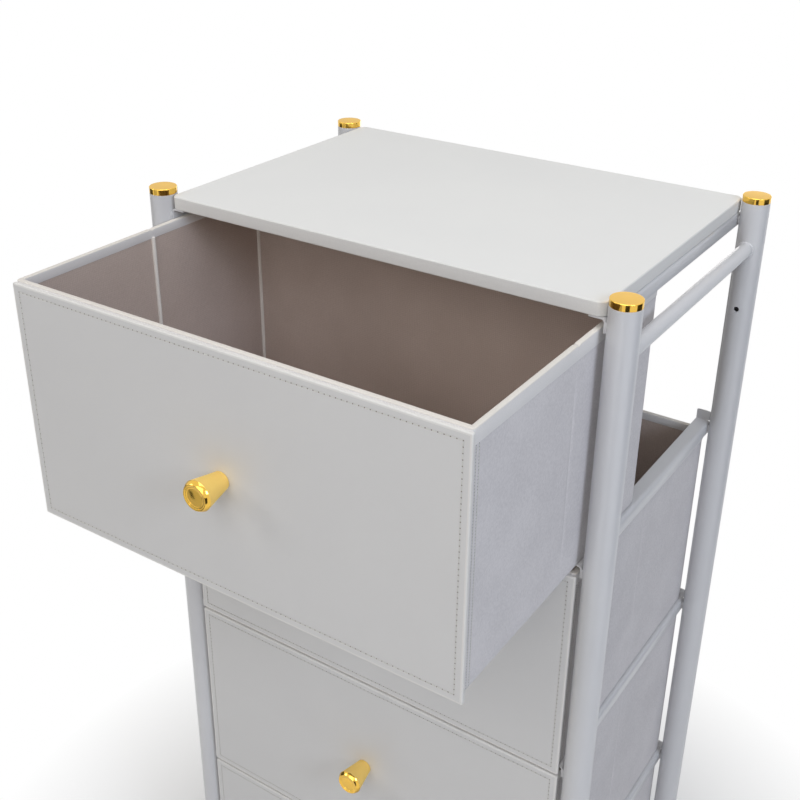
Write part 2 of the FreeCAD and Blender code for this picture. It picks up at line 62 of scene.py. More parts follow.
def skin(rings, looped=False):
    """Points, faces and each face's band number of a surface over a row of closed rings.

    The end rings are filled unless the row is a loop. A ring of one point is a tip.
    """
    points, faces, bands, rows = [], [], [], []
    for ring in rings:
        rows.append(range(len(points), len(points) + len(ring)))
        points.extend(ring)
    pairs = list(zip(rows, rows[1:]))
    if looped:
        pairs.append((rows[-1], rows[0]))
    for band, (near, far) in enumerate(pairs):
        count = max(len(near), len(far))
        for i in range(count):
            j = (i + 1) % count
            corners = (near[i % len(near)], near[j % len(near)], far[j % len(far)], far[i % len(far)])
            faces.append(list(dict.fromkeys(corners)))
            bands.append(band)
    if not looped:
        for row, band in ((rows[0], 0), (rows[-1], len(pairs) - 1)):
            if len(row) > 2:
                faces.append(list(row))
                bands.append(band)
    return points, faces, bands


def shares(steps):
    """Even shares from 0 to 1."""
    return [step / steps for step in range(steps + 1)]


def full_turn(steps):
    """The angles of even steps all the way round."""
    return [2 * math.pi * share for share in shares(steps)[:-1]]


def turned(outline, steps=64, looped=False):
    """An outline of (radius, height) points turned round the Z axis."""
    rings = []
    for radius, height in outline:
        around = full_turn(steps) if radius > 0 else [0]
        rings.append([Vector((radius * math.cos(a), radius * math.sin(a), height)) for a in around])
    return skin(rings, looped)


def smooth(mesh, crease=CREASE):
    """Shades a mesh smooth but for edges sharper than the crease angle."""
    mesh.shade_smooth()
    mesh.set_sharp_from_angle(angle=math.radians(crease))


def add_piece(name, shape, finishes, finish_of=None, crease=CREASE, merge=None):
    """A mesh object. finish_of picks a finish by band, and points within the merge distance become one."""
    points, faces, bands = shape
    mesh = bpy.data.meshes.new(name)
    mesh.from_pydata(points, [], faces)
    for finish in finishes:
        mesh.materials.append(finish)
    if finish_of:
        for face, band in zip(mesh.polygons, bands):
            face.material_index = finish_of(band)
    solid = bmesh.new()
    solid.from_mesh(mesh)
    if merge:
        bmesh.ops.remove_doubles(solid, verts=solid.verts, dist=merge)
    bmesh.ops.recalc_face_normals(solid, faces=solid.faces)
    solid.to_mesh(mesh)
    solid.free()
    smooth(mesh, crease)
    piece = bpy.data.objects.new(name, mesh)
    bpy.context.scene.collection.objects.link(piece)
    return piece


def settle(piece):
    """Makes the piece's modifiers part of its mesh."""
    bpy.context.view_layer.update()
    shaped = piece.evaluated_get(bpy.context.evaluated_depsgraph_get())
    mesh = bpy.data.meshes.new_from_object(shaped)
    piece.modifiers.clear()
    piece.data = mesh
    smooth(mesh)


def fit(piece, body, node=None):
    """Fixes a piece to a body, and hides the node that it stands for, if it has one."""
    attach(piece, body)
    if node:
        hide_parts(node)


def cut(piece, shape):
    """Takes a shape out of a piece."""
    tool = add_piece("cutting_tool", shape, [])
    taking = piece.modifiers.new("cut", "BOOLEAN")
    taking.object = tool
    taking.solver = "EXACT"
    settle(piece)
    bpy.data.objects.remove(tool)


def placed(shape, matrix):
    """A shape moved and turned by a matrix."""
    points, faces, bands = shape
    return [matrix @ point for point in points], faces, bands


def pin(radius, start, end, steps=32):
    """A plain round bar between two points."""
    along = end - start
    turn = along.to_track_quat("Z", "Y").to_matrix().to_4x4()
    outline = [(0, 0), (radius, 0), (radius, along.length), (0, along.length)]
    return placed(turned(outline, steps), Matrix.Translation(start) @ turn)


def colour(red, green, blue):
    """A colour as it looks on a screen, 0 to 255, in the form that shaders take."""
    levels = (red / 255, green / 255, blue / 255)
    return tuple(c / 12.92 if c <= 0.04045 else ((c + 0.055) / 1.055) ** 2.4 for c in levels) + (1.0,)


def feed(tree, node, inputs):
    """Sets a node's inputs, or links them where a socket is given."""
    for name, source in inputs.items():
        if isinstance(source, bpy.types.NodeSocket):
            tree.links.new(source, node.inputs[name])
        else:
            node.inputs[name].default_value = source


def wire(tree, kind, inputs, output=0, **settings):
    """Adds a shader node with its settings and inputs, and gives its first output or the one asked for."""
    node = tree.nodes.new(f"ShaderNode{kind}")
    for name, setting in settings.items():
        setattr(node, name, setting)
    feed(tree, node, inputs)
    return node.outputs[output]


def new_group(name, inputs, outputs):
    """An empty group of shader nodes, and its input and output nodes."""
    group = bpy.data.node_groups.new(name, "ShaderNodeTree")
    for way, sockets in (("INPUT", inputs), ("OUTPUT", outputs)):
        for socket in sockets:
            group.interface.new_socket(socket, in_out=way, socket_type="NodeSocketFloat")
    return group, group.nodes.new("NodeGroupInput"), group.nodes.new("NodeGroupOutput")


def new_finish(name):
    """A new material, its nodes and its surface shader."""
    finish = bpy.data.materials.new(name)
    finish.use_nodes = True
    return finish, finish.node_tree, finish.node_tree.nodes["Principled BSDF"]


def dress(surface, tone, tones, wear, roughness, height, depth):
    """Gives a surface its two tones, its range of roughness and its relief, by what each of them follows."""
    tree = surface.id_data
    factor, first, second, result = 0, 6, 7, 2
    mixed = {factor: tone, first: colour(*tones[0]), second: colour(*tones[1])}
    smoothest, roughest = roughness
    feed(tree, surface, {
        "Base Color": wire(tree, "Mix", mixed, result, data_type="RGBA"),
        "Roughness": wire(tree, "MapRange", {"Value": wear, "To Min": smoothest, "To Max": roughest}),
        "Normal": wire(tree, "Bump", {"Height": height, "Distance": depth}),
    })


# Paint sprayed on and baked keeps a fine orange peel, with a broad faint cloudiness in its tone
paint_texture, given, result = new_group("Paint texture", ("Peel scale", "Cloud scale"), ("Peel", "Cloud"))
place = wire(paint_texture, "TexCoord", {}, "Object")
for texture, detail in (("Peel", 2.0), ("Cloud", 3.0)):
    scale = given.outputs[f"{texture} scale"]
    grain = wire(paint_texture, "TexNoise", {"Vector": place, "Scale": scale, "Detail": detail})
    feed(paint_texture, result, {texture: grain})


def paint_finish(name, light, shade, peel, cloud, roughness, depth, wear="Peel", metal=0.0):
    """A coat in two close tones, with the scales of its texture and the depth of its peel.

    wear names the texture that the roughness follows.
    """
    finish, tree, surface = new_finish(name)
    scales = {"Peel scale": peel, "Cloud scale": cloud}
    paint = wire(tree, "Group", scales, node_tree=paint_texture).node.outputs
    dress(surface, paint["Cloud"], (shade, light), paint[wear], roughness, paint["Peel"], depth)
    feed(tree, surface, {"Metallic": metal})
    return finish


powder_coat = paint_finish(
    "pale_grey_powder_coat", light=(204, 204, 206), shade=(197, 197, 200),
    peel=1100.0, cloud=16.0, roughness=(0.24, 0.36), depth=0.04 * MM,
)

post_axis, post_top = {}, 0
for corner in CORNERS:
    low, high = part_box(f"post_{corner}")
    post_radius = (high.x - low.x) / 2
    post_bore = post_radius - POST_WALL
    post_axis[corner] = Vector(((low.x + high.x) / 2, (low.y + high.y) / 2, 0))
    post_top = high.z
    outline = [
        (post_radius - POST_EDGE, low.z), (post_radius, low.z + POST_EDGE),
        (post_radius, high.z - POST_EDGE), (post_radius - POST_EDGE, high.z),
        (post_bore + POST_EDGE, high.z), (post_bore, high.z - POST_EDGE),
        (post_bore, low.z + POST_EDGE), (post_bore + POST_EDGE, low.z),
    ]
    post = add_piece(
        f"coated_post_{corner}",
        placed(turned(outline, looped=True), Matrix.Translation(post_axis[corner])),
        [powder_coat],
    )
    holes = [(BOLT_HOLE_RADIUS, BOLT_HEIGHT, Vector((2 * post_radius, 0, 0)))]
    if corner.startswith("rear"):
        holes.append((STRAP_HOLE_RADIUS, STRAP_HOLE_HEIGHT, Vector((0, 2 * post_radius, 0))))
    for radius, height, reach in holes:
        middle = post_axis[corner] + UP * height
        cut(post, pin(radius, middle - reach, middle + reach))
    fit(post, "frame", f"post_{corner}")

# Side tubes and cross bars: 13 mm steel tubes. The side tubes are coped and welded to the front and rear
# posts; the cross bars are coped alike, and bolts through the posts hold them.
TUBE_BORE = 5.3 * MM
COPE_GAP = 0.2 * MM
TUBE_SIDES = 48
BEAD_RADIUS = 1.3 * MM
BEAD_RIPPLE = 0.14
BEAD_STEPS = 96
BEAD_SIDES = 10
RIPPLES = 26


def saddle(axis_point, inward, beside, radius, cope, steps):
    """The points where a tube meets an upright post, and the directions to them from the tube's axis."""
    points, directions = [], []
    for angle in full_turn(steps):
        direction = beside * math.cos(angle) + UP * math.sin(angle)
        reach = math.sqrt(cope ** 2 - (radius * math.cos(angle)) ** 2)
        points.append(axis_point + inward * reach + direction * radius)
        directions.append(direction)
    return points, directions


def coped_tube(start, end, radius, bore, cope):
    """A tube between two upright posts' axes, with its ends shaped to the posts."""
    along = (end - start).normalized()
    beside = along.cross(UP)
    edges = ((start, along, radius), (end, -along, radius), (end, -along, bore), (start, along, bore))
    rings = [saddle(place, inward, beside, edge, cope, TUBE_SIDES)[0] for place, inward, edge in edges]
    return skin(rings, looped=True)


def circle(middle, first, second, radius, steps):
    """Points round a circle, from its first direction towards its second."""
    return [middle + radius * (first * math.cos(a) + second * math.sin(a)) for a in full_turn(steps)]


def round_bead(axis_point, inward, radius, cope):
    """The weld bead round a coped tube's end, rippled as the weld was laid down in steps."""
    points, directions = saddle(axis_point, inward, inward.cross(UP), radius, cope, BEAD_STEPS)
    rings = []
    for angle, middle, outward in zip(full_turn(BEAD_STEPS), points, directions):
        thick = BEAD_RADIUS * (1 + BEAD_RIPPLE * abs(math.sin(RIPPLES * angle / 2)))
        rings.append(circle(middle, outward, inward, thick, BEAD_SIDES))
    return skin(rings, looped=True)


def joined(shapes):
    """Several shapes as one."""
    points, faces, bands = [], [], []
    for more_points, more_faces, more_bands in shapes:
        faces += [[corner + len(points) for corner in face] for face in more_faces]
        points += more_points
        bands += more_bands
    return points, faces, bands


weld_shapes = []
cope_radius = post_radius + COPE_GAP
side_tubes = [(f"side_tube_{level}_{side}", side) for level in ("upper", "lower") for side in SIDES]
tubes = [(node, [f"{end}_{side}" for end in ENDS]) for node, side in side_tubes]
tubes += [(f"cross_bar_{end}", [f"{end}_{side}" for side in SIDES]) for end in ENDS]
for node, posts in tubes:
    low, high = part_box(node)
    tube_radius = (high.z - low.z) / 2
    first, second = (post_axis[post] + UP * (low.z + high.z) / 2 for post in posts)
    tube = add_piece(
        f"coated_{node}", coped_tube(first, second, tube_radius, TUBE_BORE, cope_radius), [powder_coat]
    )
    fit(tube, "frame", node)
    if node.startswith("side"):
        weld_shapes.append(round_bead(first, Vector((0, 1, 0)), tube_radius, cope_radius))
        weld_shapes.append(round_bead(second, Vector((0, -1, 0)), tube_radius, cope_radius))

# Rails: angle strips of 1.5 mm steel, welded to the posts inside each side frame. The flange carries a
# drawer, and its rear end is bent up as a stop; the top pair carries the board and has no stop.
DRAWERS = {f"drawer_{number}": number for number in (1, 2, 3, 4)}
RAIL_SHEET = 1.5 * MM
RAIL_BEND = 2.75 * MM
RAIL_EDGE = 0.25 * MM
EDGE_ANGLE = 50
FLANGE_STEPS = 10
MERGE_DISTANCE = 0.01 * MM
STOP_BEND = 1.25 * MM
STOP_HEIGHT = 10 * MM
STOP_CORNER = 0.6 * MM
FILLET_OFFSET = 4.2 * MM
FILLET_RADIUS = 1.1 * MM
FILLET_PROUD = 0.3 * FILLET_RADIUS
FILLET_ENDS = (0.06, 0.94)
FILLET_FULLNESS = 0.35
FILLET_SIDES = 12
FILLET_STEPS = 12
FILLET_RIPPLES = 9
FILLET_BELOW_FLANGE = 2.5 * MM
FILLET_ABOVE_EDGE = 1 * MM


def spread(start, end, steps):
    """Even steps from a start to an end, for numbers or for places."""
    return [start + (end - start) * share for share in shares(steps)]


def bend(centre, radius, start, end, steps=6):
    """Points of a round stretch of an outline, with its angles in degrees."""
    angles = [math.radians(angle) for angle in spread(start, end, steps)]
    return [(centre[0] + radius * math.cos(a), centre[1] + radius * math.sin(a)) for a in angles]


def sheet(rows):
    """A surface between rows of points."""
    columns = len(rows[0])
    firsts = [row * columns + place for row in range(len(rows) - 1) for place in range(columns - 1)]
    faces = [(first, first + 1, first + columns + 1, first + columns) for first in firsts]
    return [point for row in rows for point in row], faces, [0] * len(faces)


def rail_sheet(side, low, high, flange_top, has_stop):
    """The mid surface of a rail, bent out of one strip of sheet."""
    half = RAIL_SHEET / 2
    flange_edge, web_place = (low.x, high.x - half) if side > 0 else (high.x, low.x + half)
    bend_start = web_place - side * RAIL_BEND
    flange_z = flange_top - half
    stop_place = high.y - half
    rear = stop_place - STOP_BEND if has_stop else high.y
    flange = spread(flange_edge, bend_start, FLANGE_STEPS)
    web = bend((bend_start, flange_z - RAIL_BEND), RAIL_BEND, 90, 90 - 90 * side) + [(web_place, low.z)]
    web_ends = (low.y, rear, high.y) if has_stop else (low.y, rear)
    sheets = [
        sheet([[Vector((x, y, flange_z)) for x in flange] for y in (low.y, rear)]),
        sheet([[Vector((x, y, z)) for x, z in web] for y in web_ends]),
    ]
    if has_stop:
        foot = flange_z + STOP_BEND
        turned_up = bend((rear, foot), STOP_BEND, -90, 0)
        sheets.append(sheet([[Vector((x, y, z)) for x in flange] for y, z in turned_up]))
        outer_edge = web_place + side * half
        tops = [(x, high.z) for x in flange[1:]]
        tops = [(flange_edge, high.z - STOP_CORNER)] + tops + [(outer_edge, high.z - STOP_CORNER)]
        sheets.append(sheet([
            [Vector((x, stop_place, foot)) for x in flange + [outer_edge]],
            [Vector((x, stop_place, z)) for x, z in tops],
        ]))
    return joined(sheets)


def fillet(rail_side, post_place, along, top, bottom):
    """A short upright weld where a rail's web lies against a post."""
    reach = math.sqrt(post_radius ** 2 - FILLET_OFFSET ** 2)
    x = post_place.x - rail_side * (reach + FILLET_PROUD)
    y = post_place.y + along * FILLET_OFFSET
    first, last = FILLET_ENDS
    outline = [(0, bottom)]
    for share in shares(FILLET_STEPS):
        fullness = math.sin(math.pi * min(max(share, first), last)) ** FILLET_FULLNESS
        ripple = 1 + BEAD_RIPPLE * math.sin(FILLET_RIPPLES * math.pi * share)
        outline.append((FILLET_RADIUS * fullness * ripple, bottom + (top - bottom) * share))
    outline.append((0, top))
    return placed(turned(outline, FILLET_SIDES), Matrix.Translation((x, y, 0)))


rail_nodes = [("top_rail", side, False) for side in SIDES]
rail_nodes += [(f"drawer_rail_{number}", side, True) for number in DRAWERS.values() for side in SIDES]
for rail_name, side, has_stop in rail_nodes:
    low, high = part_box(f"{rail_name}_{side}")
    flange_top = high.z - STOP_HEIGHT if has_stop else high.z
    strip = rail_sheet(SIDES[side], low, high, flange_top, has_stop)
    rail = add_piece(f"coated_{rail_name}_{side}", strip, [powder_coat], merge=MERGE_DISTANCE)
    thickness = rail.modifiers.new("sheet", "SOLIDIFY")
    thickness.thickness = RAIL_SHEET
    thickness.offset = 0
    thickness.use_even_offset = True
    edges = rail.modifiers.new("edges", "BEVEL")
    edges.width = RAIL_EDGE
    edges.segments = 2
    edges.limit_method = "ANGLE"
    edges.angle_limit = math.radians(EDGE_ANGLE)
    settle(rail)
    weld_top = flange_top - FILLET_BELOW_FLANGE
    weld_bottom = low.z + FILLET_ABOVE_EDGE
    for post_place in (post_axis[f"{end}_{side}"] for end in ENDS):
        for along in (-1, 1):
            weld_shapes.append(fillet(SIDES[side], post_place, along, weld_top, weld_bottom))
    fit(rail, "frame", f"{rail_name}_{side}")

welds = add_piece("coated_welds", joined(weld_shapes), [powder_coat], crease=60)
fit(welds, "frame")

# Feet: plugs moulded in grey plastic and pressed into the lower ends of the posts. Each stands on the floor
# on a round-edged pad.
FOOT_EDGE = 1.4 * MM
FOOT_PAD = 4 * MM
PLUG_GAP = 0.15 * MM

moulded = paint_finish(
    "moulded_grey_plastic", light=(176, 177, 178), shade=(166, 167, 169),
    peel=2600.0, cloud=40.0, roughness=(0.48, 0.64), depth=0.04 * MM,
)
plug_radius = post_bore - PLUG_GAP
for corner in CORNERS:
    low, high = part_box(f"foot_{corner}")
    outline = [(0, low.z), (post_radius - 2 * FOOT_EDGE, low.z)]
    outline += bend((post_radius - FOOT_EDGE, low.z + FOOT_EDGE), FOOT_EDGE, -90, 0)
    outline += [(post_radius, FOOT_PAD - POST_EDGE), (post_radius - POST_EDGE, FOOT_PAD)]
    outline += [(plug_radius, FOOT_PAD), (plug_radius, high.z - FOOT_EDGE)]
    outline += [(plug_radius - FOOT_EDGE / 2, high.z), (0, high.z)]
    foot = add_piece(
        f"plastic_foot_{corner}", placed(turned(outline), Matrix.Translation(post_axis[corner])), [moulded]
    )
    fit(foot, "frame", f"foot_{corner}")

# Bolts: four zinc-plated button-head bolts with a hexagon socket, through the posts into the threaded plugs
# that are pressed into the cross bars' ends.
BOLT_RADIUS = 3 * MM
BOLT_REACH = 20 * MM
BOLT_TIP = (0.4 * MM, 0.6 * MM)
BOLT_SIDES = 48
HEAD_FLAT = 0.45
HEAD_SKIRT = 0.25
HEAD_STEPS = 8
SOCKET_RADIUS = 2.3 * MM
SOCKET_DEPTH = 1.8 * MM
SOCKET_SIDES = 6

zinc = paint_finish(
    "zinc_plated_steel", light=(196, 198, 201), shade=(172, 175, 180),
    peel=3000.0, cloud=300.0, roughness=(0.28, 0.46), depth=0.02 * MM, wear="Cloud", metal=1.0,
)


def button_head(top, radius):
    """The outline of a domed screw head, from its seat at height 0 to the middle of its top."""
    flat = HEAD_FLAT * radius
    skirt = HEAD_SKIRT * top
    quarter = bend((0, 0), 1, 0, 90, HEAD_STEPS)
    dome = [(flat + (radius - flat) * across, skirt + (top - skirt) * up) for across, up in quarter]
    return [(radius, 0)] + dome + [(0, top)]


def bolt_shape(end, radius, tip, head_height, head_radius, steps):
    """A round-headed bolt from its end up to its head, with its seat at height 0 and a chamfered tip."""
    inset, length = tip
    shank = [(0, end), (radius - inset, end), (radius, end + length), (radius, 0)]
    return turned(shank + button_head(head_height, head_radius), steps)


low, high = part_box("cross_bar_bolts")
head_radius = (high.z - low.z) / 2
bolt_seat = post_axis["front_right"].x + post_radius
head_top = high.x - bolt_seat
bolt_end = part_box("cross_bar_front")[1].x - BOLT_REACH - bolt_seat
bolt = bolt_shape(bolt_end, BOLT_RADIUS, BOLT_TIP, head_top, head_radius, BOLT_SIDES)
socket_floor = head_top - SOCKET_DEPTH
socket_top = 2 * head_top
socket_outline = [(0, socket_floor), (SOCKET_RADIUS, socket_floor)]
socket_outline += [(SOCKET_RADIUS, socket_top), (0, socket_top)]
socket = turned(socket_outline, SOCKET_SIDES)
bolt_shapes, socket_shapes = [], []
for corner in CORNERS:
    outward = 1 if corner.endswith("right") else -1
    turn = Matrix.Rotation(math.radians(90 * outward), 4, "Y")
    seat_place = post_axis[corner] + Vector((outward * post_radius, 0, BOLT_HEIGHT))
    matrix = Matrix.Translation(seat_place) @ turn
    bolt_shapes.append(placed(bolt, matrix))
    socket_shapes.append(placed(socket, matrix))
bolts = add_piece("zinc_bolts", joined(bolt_shapes), [zinc])
cut(bolts, joined(socket_shapes))
fit(bolts, "frame", "cross_bar_bolts")
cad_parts["cross_bar_nuts"].material_slots[0].material = zinc

# Top board: a 12 mm fibreboard panel with rounded corners, which lies between the posts on the top rails. It
# is painted matt off-white all over; the edge's paint is rougher, and its darker tone is painted shade.
LEAST_CORNER = 0.3 * MM
BOARD_CORNER = 7.5 * MM
BOARD_EDGE = 1.2 * MM


def rounded_loop(low, high, inset, corner, across=(0, 0.5), deep=(0, 0.5), steps=10, least=LEAST_CORNER):
    """Pairs of numbers round a rectangle with round corners, inset from the one between low and high.

    across and deep are the shares of its sides that have a point.
    """
    radius = max(corner - inset, least)
    left, right = low[0] + inset + radius, high[0] - inset - radius
    near, far = low[1] + inset + radius, high[1] - inset - radius
    centres = ((right, near), (right, far), (left, far), (left, near))
    arcs = [bend(centre, radius, 90 * side - 90, 90 * side, steps) for side, centre in enumerate(centres)]
    loop = []
    for side, arc in enumerate(arcs):
        start = arcs[side - 1][-1]
        for share in (across, deep)[side % 2]:
            loop.append([a + (b - a) * share for a, b in zip(start, arc[0])])
        loop += arc[:-1]
    return loop


def slab(low, high, outline, corner, points=(0, 0.5), steps=10):
    """A lying board's shape, from (inset, height) points of its edge and the radius of its corners."""
    rings = []
    for inset, height in outline:
        loop = rounded_loop(low.xy, high.xy, inset, corner, points, points, steps)
        rings.append([Vector((x, y, height)) for x, y in loop])
    return skin(rings)


board_paint = paint_finish(
    "matt_board_paint", light=(229, 229, 227), shade=(224, 224, 223),
    peel=1800.0, cloud=9.0, roughness=(0.50, 0.62), depth=0.03 * MM,
)
# The edge: a rougher copy of the board's paint, darker by painted shade
edge_paint_with_painted_shade = paint_finish(
    "dull_board_edge_painted_shade", light=(221, 220, 218), shade=(213, 212, 210),
    peel=900.0, cloud=700.0, roughness=(0.70, 0.85), depth=0.03 * MM,
)
low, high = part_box("top_board")
board_outline = [(3 * BOARD_EDGE, low.z), (2 * BOARD_EDGE, low.z)]
edge_start = len(board_outline)
board_outline += bend((BOARD_EDGE, low.z + BOARD_EDGE), BOARD_EDGE, 270, 180)
board_outline += bend((BOARD_EDGE, high.z - BOARD_EDGE), BOARD_EDGE, 180, 90)
edge_end = len(board_outline) - 2
board_outline += [(2 * BOARD_EDGE, high.z), (3 * BOARD_EDGE, high.z)]
board = add_piece(
    "painted_top_board", slab(low, high, board_outline, BOARD_CORNER), [board_paint, edge_paint_with_painted_shade],
    finish_of=lambda band: int(edge_start <= band < edge_end),
)
fit(board, "frame", "top_board")

# Board screws: four zinc-plated pan-head screws with a cross recess. They go up through the top rails into
# the board.
RECESS_WIDTH = 1.1 * MM
RECESS_LENGTH = 4.2 * MM
RECESS_DEPTH = 1.3 * MM
RECESS_TAPER = (0.6, 1.3)
SCREW_SIDES = 32
SCREW_RADIUS = 1.75 * MM
SCREW_POINT = 2 * MM
SCREW_HEAD = 3.5 * MM
SQUARE = ((-1, -1), (1, -1), (1, 1), (-1, 1))


def cross_recess(top):
    """The cross that a screwdriver fits, sunk from a screw head's top."""
    bars = []
    for long_side, short_side in ((RECESS_LENGTH, RECESS_WIDTH), (RECESS_WIDTH, RECESS_LENGTH)):
        rings = []
        for height, share in zip((top - RECESS_DEPTH, top + RECESS_DEPTH), RECESS_TAPER):
            x = long_side / 2 * share
            y = short_side / 2 * share
            rings.append([Vector((a * x, b * y, height)) for a, b in SQUARE])
        bars.append(skin(rings))
    return bars


screw_low, screw_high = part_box("top_board_screws")
head_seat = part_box("top_board")[0].z - RAIL_SHEET
head_height = head_seat - screw_low.z
screw_end = head_seat - screw_high.z
screw_outline = [(0, screw_end), (SCREW_RADIUS, screw_end + SCREW_POINT), (SCREW_RADIUS, 0)]
screw_outline += button_head(head_height, SCREW_HEAD)
screw_shapes, recess_shapes = [], []
for x in (screw_low.x + SCREW_HEAD, screw_high.x - SCREW_HEAD):
    for y in (screw_low.y + SCREW_HEAD, screw_high.y - SCREW_HEAD):
        matrix = Matrix.Translation((x, y, head_seat)) @ Matrix.Rotation(math.pi, 4, "X")
        screw_shapes.append(placed(turned(screw_outline, SCREW_SIDES), matrix))
        recess_shapes += [placed(bar, matrix) for bar in cross_recess(head_height)]
board_screws = add_piece("zinc_board_screws", joined(screw_shapes), [zinc])
for bar in (recess_shapes[0::2], recess_shapes[1::2]):
    cut(board_screws, joined(bar))
fit(board_screws, "frame", "top_board_screws")

# Caps: turned metal caps, gold plated, with a satin top and a polished band round the side. Their plugs are
# pressed into the posts.
CAP_EDGE = 0.6 * MM
CAP_EDGE_TURN = 75
CAP_CROWN = 0.25 * MM
CROWN_STEPS = 8
TURNING_LINES = (60.0, 60.0, 5200.0)
POLISH_SMEARS = (180.0, 180.0, 180.0)


def marked_finish(name, light, shade, marks, detail, roughness, depth, metal):
    """A surface with fine marks; marks says how many there are to the metre along each axis."""
    finish, tree, surface = new_finish(name)
    spread = wire(tree, "Mapping", {"Vector": wire(tree, "TexCoord", {}, "Object"), "Scale": marks})
    mark = wire(tree, "TexNoise", {"Vector": spread, "Scale": 1.0, "Detail": detail})
    dress(surface, mark, (shade, light), mark, roughness, mark, depth)
    feed(tree, surface, {"Metallic": metal})
    return finish


def crown(radius, rim, top):
    """The outline of a low round rise, from its rim to its middle."""
    inward = [1 - share for share in shares(CROWN_STEPS)]
    return [(radius * share, rim + (top - rim) * (1 - share ** 2)) for share in inward]


satin_cap = marked_finish(
    "satin_cap_plating", light=(226, 188, 100), shade=(218, 178, 88),
    marks=TURNING_LINES, detail=1.0, roughness=(0.42, 0.56), depth=0.004 * MM, metal=1.0,
)
bright_gold = marked_finish(
    "polished_gold_plating", light=(240, 196, 92), shade=(232, 185, 80),
    marks=POLISH_SMEARS, detail=2.0, roughness=(0.07, 0.14), depth=0.01 * MM, metal=1.0,
)
for corner in CORNERS:
    low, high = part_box(f"cap_{corner}")
    cap_top = high.z - post_top
    plug_end = low.z - post_top
    outline = [(0, plug_end), (plug_radius - POST_EDGE, plug_end), (plug_radius, plug_end + POST_EDGE)]
    outline += [(plug_radius, 0), (post_radius - POST_EDGE, 0), (post_radius, POST_EDGE)]
    polish_start = len(outline) - 1
    side_top = cap_top - CAP_CROWN - CAP_EDGE
    outline += bend((post_radius - CAP_EDGE, side_top), CAP_EDGE, 0, CAP_EDGE_TURN)
    polish_end = len(outline) - 2
    outline += crown(*outline[-1], cap_top)[1:]
    cap = add_piece(
        f"gold_cap_{corner}", turned(outline), [satin_cap, bright_gold],
        finish_of=lambda band: int(polish_start <= band < polish_end),
    )
    cap.location = post_axis[corner] + UP * post_top
    fit(cap, "frame", f"cap_{corner}")

# Wall boards: brown card panels sewn in between each drawer's cover and lining, one in front, one behind and
# two in each side, which fold at the middle.
CARD_FIBRES = (420.0, 420.0, 420.0)

card = marked_finish(
    "raw_card", light=(163, 136, 104), shade=(146, 119, 88),
    marks=CARD_FIBRES, detail=4.0, roughness=(0.78, 0.92), depth=0.05 * MM, metal=0.0,
)
for drawer in DRAWERS:
    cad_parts[f"{drawer}_wall_boards"].material_slots[0].material = card

# Covers: pale polyester cloth sewn into an open box round the wall boards. A paler tape binds the rim, inside
# and out, and the sides have a pressed fold at half depth, where the empty box folds flat.
COVER_THICKNESS = 0.8 * MM
COVER_LEVELS = 26
WALL_THICKNESS = 3.6 * MM
LINING_INSET = 2.8 * MM
TUCK = 0.05 * MM
TAPE_PROUD = 0.45 * MM
TAPE_FOOT_PROUD = 0.7 * TAPE_PROUD
TAPE_OUTSIDE = 12.5 * MM
TAPE_OVERLAP = 0.6 * MM
TAPE_FOOT = 0.1 * MM
TAPE_ROLL = 0.5 * MM
RIM_EDGE = 0.9 * MM
RIM_STEPS = 5
FOLD_NOTCH = 0.9 * MM
BOX_CORNER = 2.4 * MM
BOX_INNER_CORNER = 0.6 * MM
BOX_BOTTOM_EDGE = 1.2 * MM
FOLD_WIDTH = 1.6 * MM
FOLD_DEPTH = 0.25 * MM
FOLD_HOLD = 0.6
NEAR_FOLD = (0.003, 0.006, 0.010, 0.016)
FOLDED_SIDE_STEPS = 28
PLAIN_SIDE_STEPS = 40
CLOTH_SWELL = 0.9 * MM
SWELL_MEAN = 0.5
SWELL_RANGE = 0.6
CLOTH_WAVE = 14.0
CLOTH_SHIFT = 7.3
CLOTH_PITCH = 0.9 * MM
CLOTH_ROUGHNESS = (0.78, 0.95)
TAPE_PITCH = 0.6 * MM
TAPE_FUZZ = 1500.0

# Woven cloth: threads that cross on every face of the box, and a fine fuzz over them
woven, given, result = new_group("Woven cloth", ("Thread pitch", "Fuzz scale"), ("Threads", "Fuzz", "Cloud"))
place = wire(woven, "TexCoord", {}, "Object")
turn_rate = wire(woven, "Math", {0: 2 * math.pi, 1: given.outputs["Thread pitch"]}, operation="DIVIDE")
phase = wire(woven, "VectorMath", {0: place, "Scale": turn_rate}, operation="SCALE")
crossing = 0.0
for way in wire(woven, "SeparateXYZ", {"Vector": phase}).node.outputs:
    wave = wire(woven, "Math", {0: way}, operation="SINE")
    crossing = wire(woven, "Math", {0: crossing, 1: wave}, operation="ADD")
crossed = wire(woven, "MapRange", {"Value": crossing, "From Min": -3.0, "From Max": 3.0})
fuzz = wire(woven, "TexNoise", {"Vector": place, "Scale": given.outputs["Fuzz scale"], "Detail": 3.0})
cloud = wire(woven, "TexNoise", {"Vector": place, "Scale": 24.0, "Detail": 4.0})
feed(woven, result, {"Threads": crossed, "Fuzz": fuzz, "Cloud": cloud})


def cloth_finish(name, light, shade, pitch, fuzz, depth, sheen):
    """A woven cloth in two close tones; pitch is that of its threads, fuzz the scale of its fuzz."""
    finish, tree, surface = new_finish(name)
    cloth = wire(tree, "Group", {"Thread pitch": pitch, "Fuzz scale": fuzz}, node_tree=woven).node.outputs
    weave = {0: cloth["Threads"], 1: cloth["Cloud"], 2: cloth["Fuzz"]}
    mottle = wire(tree, "Math", weave, operation="MULTIPLY_ADD")
    tone = wire(tree, "MapRange", {"Value": mottle, "From Min": 0.45, "From Max": 1.05})
    dress(surface, tone, (shade, light), cloth["Fuzz"], CLOTH_ROUGHNESS, mottle, depth)
    feed(tree, surface, {"Sheen Weight": sheen, "Sheen Roughness": 0.5})
    return finish


